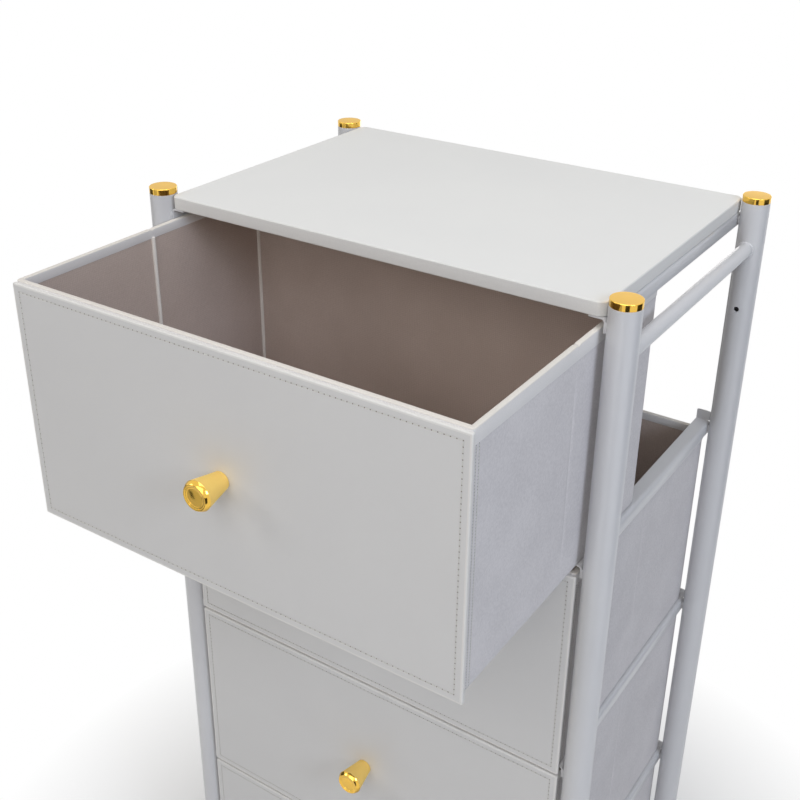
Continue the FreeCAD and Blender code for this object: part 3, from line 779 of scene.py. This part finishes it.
cover_cloth = cloth_finish(
    "pale_woven_cover", light=(210, 207, 209), shade=(190, 187, 190),
    pitch=CLOTH_PITCH, fuzz=520.0, depth=0.10 * MM, sheen=0.12,
)
rim_tape = cloth_finish(
    "rim_binding_tape", light=(225, 223, 222), shade=(214, 212, 212),
    pitch=TAPE_PITCH, fuzz=TAPE_FUZZ, depth=0.06 * MM, sheen=0.10,
)
# The top of the rim is a creamier copy of the tape: a painted warm highlight from above
rim_top_painted_light = cloth_finish(
    "rim_tape_top_painted_light", light=(226, 221, 214), shade=(215, 209, 202),
    pitch=TAPE_PITCH, fuzz=TAPE_FUZZ, depth=0.06 * MM, sheen=0.10,
)

side_shares = shares(PLAIN_SIDE_STEPS)[:-1]
near_fold = {0.5 + side * offset for offset in NEAR_FOLD for side in (-1, 1)}
fold_shares = sorted(near_fold.union(shares(FOLDED_SIDE_STEPS)[:-1]))


def at_fold(y, low, high):
    """1 on the fold of a drawer's side, and less away from it."""
    return math.exp(-((y - (low.y + high.y) / 2) / FOLD_WIDTH) ** 2)


def swell(x, y, z, number, low, high):
    """How far the cloth stands off the side and rear walls: none at the edges, and little at the fold."""
    on_side = min(x - low.x, high.x - x) < WALL_THICKNESS
    run = (y - low.y) / (high.y - low.y) if on_side else (x - low.x) / (high.x - low.x)
    rise = (z - low.z) / (high.z - low.z)
    if not on_side and y < (low.y + high.y) / 2:
        return 0
    window = 1
    for share in (min(max(run, 0), 1), rise):
        window *= max(math.sin(math.pi * share), 0) ** 0.5
    wave = noise.noise(Vector((x * CLOTH_WAVE, y * CLOTH_WAVE, z * CLOTH_WAVE + CLOTH_SHIFT * number)))
    bulge = CLOTH_SWELL * window * (SWELL_MEAN + SWELL_RANGE * wave)
    if on_side:
        bulge -= (FOLD_DEPTH + FOLD_HOLD * bulge) * at_fold(y, low, high)
    return bulge


def box_ring(low, high, inset, height, corner, number=None, direction=1, notch=0):
    """A ring round a drawer box at a depth below its outside, which dips by the notch where the sides fold.

    With a drawer's number it swells as cloth does, outwards or, with a direction of -1, inwards.
    """
    loop = rounded_loop(
        low.xy, high.xy, inset, corner, side_shares, fold_shares, steps=4, least=BOX_INNER_CORNER
    )
    ring = []
    for x, y in loop:
        point = Vector((x, y, height))
        reach_x = min(x - low.x, high.x - x)
        reach_y = min(y - low.y, high.y - y)
        if reach_x < 2 * WALL_THICKNESS:
            point.z -= notch * at_fold(y, low, high)
        if number:
            bulge = swell(x, y, height, number, low, high)
            if reach_x < reach_y:
                point.x += direction * math.copysign(bulge, x)
            else:
                point.y += direction * math.copysign(bulge, y - (low.y + high.y) / 2)
        ring.append(point)
    return ring


for drawer, number in DRAWERS.items():
    low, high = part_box(f"{drawer}_cover")
    outline = [(4 * BOX_BOTTOM_EDGE, low.z), (2 * BOX_BOTTOM_EDGE, low.z)]
    outline += bend((BOX_BOTTOM_EDGE, low.z + BOX_BOTTOM_EDGE), BOX_BOTTOM_EDGE, 270, 180, 4)
    tape_edge = high.z - TAPE_OUTSIDE
    wall_start = low.z + BOX_BOTTOM_EDGE
    outline += [(0, height) for height in spread(wall_start, tape_edge, COVER_LEVELS)[1:]]
    tape_start = len(outline) - 1
    outline += [(-TAPE_FOOT_PROUD, tape_edge + TAPE_FOOT), (-TAPE_PROUD, tape_edge + TAPE_ROLL)]
    rim_start = len(outline)
    inner_face = WALL_THICKNESS + TAPE_PROUD
    outline += bend((RIM_EDGE - TAPE_PROUD, high.z - RIM_EDGE), RIM_EDGE, 180, 90, RIM_STEPS)
    outline += bend((inner_face - RIM_EDGE, high.z - RIM_EDGE), RIM_EDGE, 90, 0, RIM_STEPS)
    rim_end = len(outline)
    lining_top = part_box(f"{drawer}_lining")[1].z
    inner_edge = lining_top - TAPE_OVERLAP
    outline += [
        (inner_face, inner_edge + TAPE_ROLL),
        (WALL_THICKNESS + TAPE_FOOT_PROUD, inner_edge + TAPE_FOOT),
        (WALL_THICKNESS + TUCK, inner_edge),
    ]
    tape_end = len(outline) - 1
    outline += [(WALL_THICKNESS + TUCK, lining_top + TUCK), (LINING_INSET, lining_top + TUCK)]
    outline += [(LINING_INSET, high.z - COVER_THICKNESS), (COVER_THICKNESS, high.z - COVER_THICKNESS)]
    outline += [(COVER_THICKNESS, low.z + COVER_THICKNESS), (2 * WALL_THICKNESS, low.z + COVER_THICKNESS)]
    rings = []
    for place, (inset, height) in enumerate(outline):
        loose = number if place < tape_end and inset <= 0 else None
        notch = FOLD_NOTCH if rim_start <= place < rim_end else 0
        rings.append(box_ring(low, high, inset, height, BOX_CORNER, loose, notch=notch))
    cover = add_piece(
        f"{drawer}_fabric_cover", skin(rings), [cover_cloth, rim_tape, rim_top_painted_light],
        finish_of=lambda band: int(tape_start <= band < tape_end) + int(rim_start <= band < rim_end - 2),
    )
    fit(cover, drawer, f"{drawer}_cover")

# Linings: brown non-woven cloth, embossed all over with small dimples, sewn in under the rim tape. Pale
# piping covers its seams in the corners and along the folds of the sides.
DIMPLE_PITCH = 1.9 * MM
LINING_FUZZ = 900.0
LINING_EDGE = 1.5 * MM
LINING_FOOT_EDGE = 0.3 * MM
LINING_RIM_EDGE = 0.1 * MM
LINING_LEVELS = 22
PIPING_RADIUS = 1.9 * MM
PIPING_INSET = WALL_THICKNESS + 0.3 * PIPING_RADIUS
PIPING_SIDES = 14
PIPING_STEPS = 24
PIPING_UNEVEN = 0.10
PIPING_SHIFT = 40
PIPING_LUMPS = 30
PIPING_BELOW_BASE = 3 * MM
PIPING_UNDER_TAPE = 1 * MM

lining_cloth = cloth_finish(
    "brown_embossed_lining", light=(194, 179, 171), shade=(176, 160, 151),
    pitch=DIMPLE_PITCH, fuzz=LINING_FUZZ, depth=0.16 * MM, sheen=0.10,
)
piping_cloth = cloth_finish(
    "pale_piping", light=(232, 228, 222), shade=(216, 211, 205),
    pitch=TAPE_PITCH, fuzz=TAPE_FUZZ, depth=0.08 * MM, sheen=0.10,
)
for drawer, number in DRAWERS.items():
    low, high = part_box(f"{drawer}_cover")
    inner_low, inner_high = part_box(f"{drawer}_lining")
    floor_top = inner_low.z + COVER_THICKNESS
    wall_bottom = floor_top + LINING_EDGE
    wall_top = inner_high.z
    outline = [
        (3 * WALL_THICKNESS, inner_low.z), (LINING_INSET + LINING_FOOT_EDGE, inner_low.z),
        (LINING_INSET, inner_low.z + LINING_FOOT_EDGE), (LINING_INSET, wall_top),
        (WALL_THICKNESS - LINING_RIM_EDGE, wall_top), (WALL_THICKNESS, wall_top - LINING_RIM_EDGE),
    ]
    outline += [(WALL_THICKNESS, height) for height in spread(wall_top, wall_bottom, LINING_LEVELS)[1:]]
    outline += bend((WALL_THICKNESS + LINING_EDGE, wall_bottom), LINING_EDGE, 180, 270, 4)[1:]
    outline += [(3 * WALL_THICKNESS, floor_top)]
    rings = []
    for inset, height in outline:
        loose = number if inset == WALL_THICKNESS else None
        rings.append(box_ring(low, high, inset, height, BOX_INNER_CORNER, loose, direction=-1))
    lining = add_piece(f"{drawer}_brown_lining", skin(rings), [lining_cloth])
    fit(lining, drawer, f"{drawer}_lining")

    seams_across = (low.x + PIPING_INSET, high.x - PIPING_INSET)
    seams_deep = (low.y + PIPING_INSET, (low.y + high.y) / 2, high.y - PIPING_INSET)
    piping_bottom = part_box(f"{drawer}_base")[1].z - PIPING_BELOW_BASE
    piping_top = wall_top - TAPE_OVERLAP + PIPING_UNDER_TAPE
    piping_shapes = []
    for x, y in [(x, y) for x in seams_across for y in seams_deep]:
        outline = [(0, piping_bottom)]
        for share in shares(PIPING_STEPS):
            spot = Vector((PIPING_SHIFT * x, PIPING_SHIFT * y, PIPING_LUMPS * share + number))
            thick = PIPING_RADIUS * (1 + PIPING_UNEVEN * noise.noise(spot))
            outline.append((thick, piping_bottom + (piping_top - piping_bottom) * share))
        outline.append((0, piping_top))
        piping_shapes.append(placed(turned(outline, PIPING_SIDES), Matrix.Translation((x, y, 0))))
    piping = add_piece(f"{drawer}_seam_piping", joined(piping_shapes), [piping_cloth])
    fit(piping, drawer)

# Base boards: thin fibreboard covered in the lining cloth, which lie loose on the drawers' bottoms. The cloth
# is turned over the edges, so a border stands a little higher than the middle.
BASE_CORNER = 3 * MM
BASE_EDGE = 1.2 * MM
BORDER_WIDTH = 7 * MM
BORDER_STEP = 0.7 * MM
BORDER_ROLL = 0.8 * MM
BORDER_TURN = 0.3 * MM
MIDDLE_START = 1 * MM
MIDDLE_SHARES = (0.15, 0.3, 0.5, 0.75, 0.95)

border_cloth = cloth_finish(
    "base_border_cloth", light=(200, 187, 179), shade=(184, 170, 162),
    pitch=DIMPLE_PITCH, fuzz=LINING_FUZZ, depth=0.14 * MM, sheen=0.10,
)
for drawer in DRAWERS:
    low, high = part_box(f"{drawer}_base")
    middle_top = high.z - BORDER_STEP
    outline = [(3 * BASE_EDGE, low.z)] + bend((BASE_EDGE, low.z + BASE_EDGE), BASE_EDGE, 270, 180, 4)
    outline += bend((BASE_EDGE, high.z - BASE_EDGE), BASE_EDGE, 180, 90, 4)
    outline += [(2 * BASE_EDGE, high.z), (BORDER_WIDTH - BORDER_ROLL, high.z)]
    outline += [(BORDER_WIDTH - BORDER_TURN, high.z - BORDER_TURN / 2)]
    border_end = len(outline) - 1
    outline += [(BORDER_WIDTH, middle_top), (BORDER_WIDTH + MIDDLE_START, middle_top)]
    outline += [(share * (high.y - low.y) / 2, middle_top) for share in MIDDLE_SHARES]
    base = add_piece(
        f"{drawer}_covered_base", slab(low, high, outline, BASE_CORNER, side_shares, 4),
        [border_cloth, lining_cloth], finish_of=lambda band: int(band >= border_end),
    )
    fit(base, drawer, f"{drawer}_base")

# Fronts: stiff panels wrapped in pale imitation leather, with a row of lockstitch inside the rolled edge. Two
# more rows, finer and close together, sew each panel's edge to the cover's sides.
FRONT_CORNER = 1.5 * MM
FRONT_CORNER_STEPS = 5
FRONT_ROLL = 1.0 * MM
FRONT_ROLL_STEPS = 8
BACK_EDGE = 0.6 * MM
EDGE_LIP = 0.9 * MM
STITCH_INSET = 6.7 * MM
STITCH_PITCH = 4.6 * MM
STITCH_RADIUS = 0.30 * MM
STITCH_HOLE = 0.58 * MM
STITCH_SUNK = 0.2 * STITCH_RADIUS
STITCH_FORM = ((0.12, 0.1, 0.7), (0.3, 0.75, 1), (0.7, 0.75, 1), (0.88, 0.1, 0.7))
THREAD_SIDES = 7
HOLE_SIDES = 8
HOLE_PROUD = 0.25
GROOVE_DEPTH = 0.20 * MM
GROOVE_WIDTH = 0.9 * MM
GROOVE_FORM = ((-2, 0), (-1, 0.12), (-0.4, 0.75), (0, 1), (0.4, 0.75), (1, 0.12), (2.5, 0))
SIDE_STITCH_PITCH = 2.4 * MM
SIDE_STITCH_RADIUS = 0.26 * MM
SIDE_STITCH_HOLE = 0.50 * MM
SIDE_ROWS = (3.8 * MM, 7.6 * MM)
SIDE_ROW_RISE = 2 * MM
SIDE_ROW_DROP = 1 * MM
PANEL_SHARES = (0.14, 0.24, 0.38, 0.55, 0.75, 0.95)
PANEL_WAVE = 0.25 * MM
PANEL_WAVES = 9
PANEL_SHIFT = 5.1
HOLE_BAND = 100
SIDE_HOLE_BAND = 200
THREAD_TWIST = 0.35 * MM
THREAD_FUZZ = 2600.0
THREAD_RELIEF = 0.05 * MM
LEATHER_ROUGHNESS = (0.56, 0.46)
GRAIN_DRIFT = (0.0016, 0.0016, 0.0016)

# Leather grain: small pebbles with fine creases between them, and a broad faint cloudiness
leather_grain, given, result = new_group("Leather grain", ("Pebble scale",), ("Pebbles", "Cloud"))
place = wire(leather_grain, "TexCoord", {}, "Object")
drift = wire(leather_grain, "TexNoise", {"Vector": place, "Scale": 260.0, "Detail": 2.0}, "Color")
drifting = {0: drift, 1: GRAIN_DRIFT, 2: place}
drifted = wire(leather_grain, "VectorMath", drifting, operation="MULTIPLY_ADD")
pebbled = {"Vector": drifted, "Scale": given.outputs["Pebble scale"]}
pebbles = wire(leather_grain, "TexVoronoi", pebbled, "Distance", feature="DISTANCE_TO_EDGE")
creased = wire(leather_grain, "MapRange", {"Value": pebbles, "From Max": 0.28})
cloud = wire(leather_grain, "TexNoise", {"Vector": place, "Scale": 7.0, "Detail": 3.0})
feed(leather_grain, result, {"Pebbles": creased, "Cloud": cloud})


def leather_finish(name, light, shade, pebble_scale, depth):
    """Imitation leather in two close tones."""
    finish, tree, surface = new_finish(name)
    grain = wire(tree, "Group", {"Pebble scale": pebble_scale}, node_tree=leather_grain).node.outputs
    pebbles = grain["Pebbles"]
    dress(surface, grain["Cloud"], (shade, light), pebbles, LEATHER_ROUGHNESS, pebbles, depth)
    return finish


leather = leather_finish(
    "pale_imitation_leather", light=(208, 207, 206), shade=(201, 200, 200),
    pebble_scale=900.0, depth=0.035 * MM,
)
# The rolled edge is a copy of the leather with a finer grain, and its paler tone is a painted highlight
edge_leather_painted_highlight = leather_finish(
    "stretched_leather_edge_painted_highlight", light=(220, 218, 215), shade=(212, 210, 208),
    pebble_scale=1400.0, depth=0.015 * MM,
)
# Thread, and dark finishes for the needle holes, whose darkness is painted shade
thread, needle_hole_painted_shade, side_hole_painted_shade = (
    cloth_finish(name, light, shade, THREAD_TWIST, THREAD_FUZZ, THREAD_RELIEF, sheen)
    for name, light, shade, sheen in (
        ("pale_sewing_thread", (206, 205, 200), (194, 192, 187), 0.15),
        ("needle_holes_painted_shade", (140, 130, 125), (114, 104, 99), 0.0),
        ("side_needle_holes_painted_shade", (140, 137, 140), (112, 110, 114), 0.0),
    )
)


def stitch(start, end, outward, radius):
    """A thread that comes up out of one needle hole and goes down the next."""
    along = (end - start).normalized()
    beside = along.cross(outward)
    rings = [[start - outward * radius]]
    for share, lift, thick in STITCH_FORM:
        middle = start.lerp(end, share) + outward * radius * lift
        rings.append(circle(middle, beside, outward, radius * thick, THREAD_SIDES))
    rings.append([end - outward * radius])
    return skin(rings)


def needle_mark(place, outward, radius):
    """A needle hole, as a small pit between two stitches; the dark finish that its band takes is painted
    shade.
    """
    beside = outward.orthogonal().normalized()
    ring = circle(place, beside, outward.cross(beside), radius, HOLE_SIDES)
    return skin([[place + outward * HOLE_PROUD * radius], ring, [place - outward * radius]])


def needle_places(start, end, pitch):
    """Places along a straight line, about a pitch apart."""
    return spread(start, end, round((end - start).length / pitch))


def stitch_row(holes, outward, radius, hole_radius, hole_band):
    """Stitches from hole to hole, and the holes, whose faces have their own band number."""
    shapes = [stitch(first, second, outward, radius) for first, second in zip(holes, holes[1:])]
    for hole in holes:
        points, faces, bands = needle_mark(hole, outward, hole_radius)
        shapes.append((points, faces, [hole_band] * len(bands)))
    return shapes


for drawer, number in DRAWERS.items():
    low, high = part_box(f"{drawer}_front")
    face_depth = high.y - low.y
    outline = [(4 * FRONT_ROLL, 0), (BACK_EDGE, 0), (BACK_EDGE / 3, BACK_EDGE / 3), (0, BACK_EDGE)]
    outline += bend((FRONT_ROLL, face_depth - FRONT_ROLL), FRONT_ROLL, 180, 90, FRONT_ROLL_STEPS)
    outline += [(FRONT_ROLL + EDGE_LIP, face_depth)]
    edge_end = len(outline) - 1
    for across, sunk in GROOVE_FORM:
        outline.append((STITCH_INSET + across * GROOVE_WIDTH, face_depth - sunk * GROOVE_DEPTH))
    outline += [(share * (high.z - low.z) / 2, face_depth) for share in PANEL_SHARES]
    rings = []
    for inset, depth in outline:
        loop = rounded_loop(
            low.xz, high.xz, inset, FRONT_CORNER, side_shares, side_shares, FRONT_CORNER_STEPS
        )
        wave = PANEL_WAVE if inset > 2 * STITCH_INSET else 0
        ring = []
        for x, z in loop:
            lift = wave * noise.noise(Vector((PANEL_WAVES * x, PANEL_SHIFT * number, PANEL_WAVES * z)))
            ring.append(Vector((x, high.y - depth - lift, z)))
        rings.append(ring)
    front = add_piece(
        f"{drawer}_leather_front", skin(rings), [leather, edge_leather_painted_highlight],
        finish_of=lambda band: int(band < edge_end),
    )
    fit(front, drawer, f"{drawer}_front")

    face = low.y + GROOVE_DEPTH - STITCH_SUNK
    left, right = low.x + STITCH_INSET, high.x - STITCH_INSET
    lower, upper = low.z + STITCH_INSET, high.z - STITCH_INSET
    row_corners = ((left, lower), (right, lower), (right, upper), (left, upper))
    corners = [Vector((x, face, z)) for x, z in row_corners]
    shapes = []
    for start, end in zip(corners, corners[1:] + corners[:1]):
        holes = needle_places(start, end, STITCH_PITCH)
        shapes += stitch_row(holes, Vector((0, -1, 0)), STITCH_RADIUS, STITCH_HOLE, HOLE_BAND)
    cover_low, cover_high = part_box(f"{drawer}_cover")
    for x, outward in ((cover_low.x, Vector((-1, 0, 0))), (cover_high.x, Vector((1, 0, 0)))):
        for behind in SIDE_ROWS:
            y = cover_low.y + behind
            foot = Vector((x, y, cover_low.z + SIDE_ROW_RISE))
            head = Vector((x, y, cover_high.z - TAPE_OUTSIDE - SIDE_ROW_DROP))
            holes = needle_places(foot, head, SIDE_STITCH_PITCH)
            for hole in holes:
                hole.x += outward.x * swell(*hole, number, cover_low, cover_high)
            shapes += stitch_row(holes, outward, SIDE_STITCH_RADIUS, SIDE_STITCH_HOLE, SIDE_HOLE_BAND)
    stitches = add_piece(
        f"{drawer}_stitches", joined(shapes), [thread, needle_hole_painted_shade, side_hole_painted_shade],
        finish_of=lambda band: band // HOLE_BAND,
    )
    fit(stitches, drawer)

# Knobs: turned brass cones, gold plated, satin along the side, with a polished bevel at the rim and two
# shallow steps turned into the polished end. A screw from inside the drawer holds each one.
KNOB_FOOT_EDGE = 1.2 * MM
KNOB_FOOT_RADIUS = 7.75 * MM
KNOB_RIM_LENGTH = 3.4 * MM
KNOB_RIM_INSET = 2.0 * MM
KNOB_STEP_RADIUS = 9.0 * MM
KNOB_STEP_DEPTH = 0.3 * MM
KNOB_RING_RADIUS = 7.3 * MM
KNOB_RING_DEPTH = 0.6 * MM
KNOB_END_CROWN = 0.28 * MM
KNOB_THREAD_RADIUS = 2.05 * MM
KNOB_THREAD_DEPTH = 13 * MM
KNOB_EDGE = 0.35 * MM
KNOB_SCREW_RADIUS = 2 * MM
KNOB_SCREW_SIDES = 40
KNOB_SCREW_TIP = (0.3 * MM, 0.4 * MM)

# The knobs take a paler, half-metallic copy of the caps' satin plating, which brightens them as painted light
satin_knob_painted_light = marked_finish(
    "satin_knob_plating_painted_light", light=(255, 220, 128), shade=(250, 212, 114),
    marks=TURNING_LINES, detail=1.0, roughness=(0.50, 0.64), depth=0.004 * MM, metal=0.5,
)
for drawer in DRAWERS:
    low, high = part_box(f"{drawer}_knob")
    length = high.y - low.y
    end_radius = (high.z - low.z) / 2
    face_radius = end_radius - KNOB_RIM_INSET
    rim_start = length - KNOB_RIM_LENGTH
    step_floor = length - KNOB_STEP_DEPTH
    ring_floor = length - KNOB_RING_DEPTH
    outline = [(0, KNOB_THREAD_DEPTH), (KNOB_THREAD_RADIUS, KNOB_THREAD_DEPTH), (KNOB_THREAD_RADIUS, 0)]
    outline += [(KNOB_FOOT_RADIUS - 2 * KNOB_FOOT_EDGE, 0)]
    outline += bend((KNOB_FOOT_RADIUS - KNOB_FOOT_EDGE, KNOB_FOOT_EDGE), KNOB_FOOT_EDGE, -90, 0)
    outline += [(end_radius - KNOB_EDGE / 3, rim_start - KNOB_EDGE)]
    bevel_start = len(outline) - 1
    outline += [
        (end_radius, rim_start),
        (end_radius - KNOB_EDGE / 3, rim_start + KNOB_EDGE),
        (face_radius + KNOB_EDGE / 3, length - 0.6 * KNOB_EDGE),
        (face_radius - KNOB_EDGE / 2, length),
        (KNOB_STEP_RADIUS + KNOB_EDGE, length),
        (KNOB_STEP_RADIUS + KNOB_EDGE / 3, length - KNOB_EDGE / 3),
        (KNOB_STEP_RADIUS, step_floor),
        (KNOB_RING_RADIUS + KNOB_EDGE, step_floor),
        (KNOB_RING_RADIUS + KNOB_EDGE / 3, step_floor - KNOB_EDGE / 3),
    ]
    outline += crown(KNOB_RING_RADIUS, ring_floor, ring_floor + KNOB_END_CROWN)
    knob = add_piece(
        f"{drawer}_gold_knob", turned(outline), [satin_knob_painted_light, bright_gold],
        finish_of=lambda band: int(band > bevel_start), crease=30,
    )
    knob.location = ((low.x + high.x) / 2, high.y, (low.z + high.z) / 2)
    knob.rotation_euler = (math.pi / 2, 0, 0)
    fit(knob, drawer, f"{drawer}_knob")

    screw_low, screw_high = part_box(f"{drawer}_knob_screw")
    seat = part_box(f"{drawer}_cover")[0].y + WALL_THICKNESS
    head_height = screw_high.y - seat
    screw_end = screw_low.y - seat
    head_radius = (screw_high.z - screw_low.z) / 2
    screw = bolt_shape(
        screw_end, KNOB_SCREW_RADIUS, KNOB_SCREW_TIP, head_height, head_radius, KNOB_SCREW_SIDES
    )
    knob_screw = add_piece(f"{drawer}_zinc_knob_screw", screw, [zinc])
    for bar in cross_recess(head_height):
        cut(knob_screw, bar)
    knob_screw.location = ((low.x + high.x) / 2, seat, (low.z + high.z) / 2)
    knob_screw.rotation_euler = (-math.pi / 2, 0, 0)
    fit(knob_screw, drawer, f"{drawer}_knob_screw")

# Studio: a pale floor that fades to white, soft light from above, from the front and, cooler, from the right,
# weak fills from the left and behind, and the camera above and to the right of the drawers.
FLOOR_HALF = 6.0
FLOOR_DROP = 0.2 * MM
FLOOR_PALE = (240, 240, 240)
FADE_START = 0.26
FADE_END = 0.62
AMBIENT = 0.20
AIM = Vector((0, -0.05, 0.6))

floor_finish, tree, surface = new_finish("pale_studio_floor")
tree.nodes.remove(surface)
spot = wire(tree, "TexCoord", {}, "Object")
distance = wire(tree, "VectorMath", {0: spot}, "Value", operation="LENGTH")
fade = wire(tree, "MapRange", {"Value": distance, "From Min": FADE_START, "From Max": FADE_END})


def seen_directly(tree):
    """The rays that show the background: straight to the camera, mirrored or let through."""
    rays = wire(tree, "LightPath", {}).node.outputs
    seen = rays["Is Camera Ray"]
    for other in ("Is Glossy Ray", "Is Transmission Ray"):
        seen = wire(tree, "Math", {0: seen, 1: rays[other]}, operation="MAXIMUM")
    return seen


faded = wire(tree, "Math", {0: fade, 1: seen_directly(tree)}, operation="MULTIPLY")
matt = wire(tree, "BsdfDiffuse", {"Color": colour(*FLOOR_PALE)})
white = wire(tree, "Emission", {"Color": (1, 1, 1, 1), "Strength": 1.0})
mixed = wire(tree, "MixShader", {0: faded, 1: matt, 2: white})
feed(tree, tree.nodes["Material Output"], {"Surface": mixed})
corners = [(x * FLOOR_HALF, y * FLOOR_HALF, 0) for x, y in SQUARE]
floor = add_piece("studio_floor", (corners, [(0, 1, 2, 3)], [0]), [floor_finish])
floor.location.z = -FLOOR_DROP

world = bpy.data.worlds.new("white_studio")
world.use_nodes = True
bpy.context.scene.world = world
tree = world.node_tree
tree.nodes.remove(tree.nodes["Background"])
soft = wire(tree, "Background", {"Color": (1.0, 0.99, 0.97, 1), "Strength": AMBIENT})
white = wire(tree, "Background", {"Color": (1, 1, 1, 1), "Strength": 1.0})
mixed = wire(tree, "MixShader", {0: seen_directly(tree), 1: soft, 2: white})
feed(tree, tree.nodes["World Output"], {"Surface": mixed})


def soft_light(name, place, size, power, tint):
    """A square soft box that faces the dresser."""
    lamp = bpy.data.lights.new(name, "AREA")
    lamp.size = size
    lamp.energy = power
    lamp.color = tint
    holder = bpy.data.objects.new(name, lamp)
    holder.location = place
    holder.rotation_euler = (AIM - Vector(place)).to_track_quat("-Z", "Y").to_euler()
    bpy.context.scene.collection.objects.link(holder)


soft_light("key_from_the_front", place=(0.45, -2.4, 2.3), size=2.2, power=31, tint=(1.0, 0.98, 0.955))
soft_light("fill_from_left", place=(-1.9, -1.5, 1.9), size=0.7, power=8, tint=(1.0, 0.985, 0.965))
soft_light("overhead", place=(0.1, -0.2, 2.9), size=1.5, power=18.5, tint=(1.0, 0.99, 0.975))
soft_light("cool_light_from_right", place=(2.1, -0.9, 1.9), size=0.8, power=20.5, tint=(0.76, 0.85, 1.0))
soft_light("fill_from_behind", place=(-0.4, 2.6, 0.7), size=1.2, power=9, tint=(1.0, 0.99, 0.975))

# Cards set up round the dresser, so that polished metal has something to mirror. Each has its direction,
# its width, its lower and upper edge, and its grey.
CARDS = (
    (-160, 0.75, 0, 0.75, 100), (-122, 0.48, 0, 0.75, 245), (-124.6, 0.07, 0.235, 0.345, 45),
    (-53, 0.46, 0, 0.75, 70), (20, 0.90, 0, 0.75, 60), (128, 0.40, 0, 0.75, 40),
)
CARD_RADIUS = 1.15

for number, (turn, width, bottom, top, grey) in enumerate(CARDS):
    card_finish, tree, surface = new_finish(f"studio_card_{number + 1}")
    feed(tree, surface, {"Base Color": colour(grey, grey, grey), "Roughness": 0.9})
    across = Matrix.Rotation(math.radians(turn), 4, "Z")
    corners = [
        across @ Vector((CARD_RADIUS - number * MM, y, z))
        for y, z in ((-width / 2, bottom), (width / 2, bottom), (width / 2, top), (-width / 2, top))
    ]
    standing = add_piece(f"studio_card_{number + 1}", (corners, [(0, 1, 2, 3)], [0]), [card_finish])
    standing.visible_camera = False
    standing.visible_diffuse = False
    standing.visible_shadow = False
    standing.visible_transmission = False

CAMERA_PLACE = Vector((0.5030, -0.8509, 1.2662))
CAMERA_TURN = 33.56
CAMERA_DOWN = 26.24
CAMERA_ROLL = 0.53
CAMERA_LENS = 51.46
CAMERA_SHIFT = -0.05
camera_data = bpy.data.cameras.new("photo_camera")
camera_data.lens = CAMERA_LENS
camera_data.shift_y = CAMERA_SHIFT
camera_data.clip_start = 0.01
camera = bpy.data.objects.new("photo_camera", camera_data)
pose = Matrix.Translation(CAMERA_PLACE)
for turn, axis in ((CAMERA_TURN, "Z"), (90 - CAMERA_DOWN, "X"), (CAMERA_ROLL, "Z")):
    pose = pose @ Matrix.Rotation(math.radians(turn), 4, axis)
camera.matrix_world = pose
bpy.context.scene.collection.objects.link(camera)
bpy.context.scene.camera = camera
bpy.context.scene.view_settings.view_transform = "Standard"
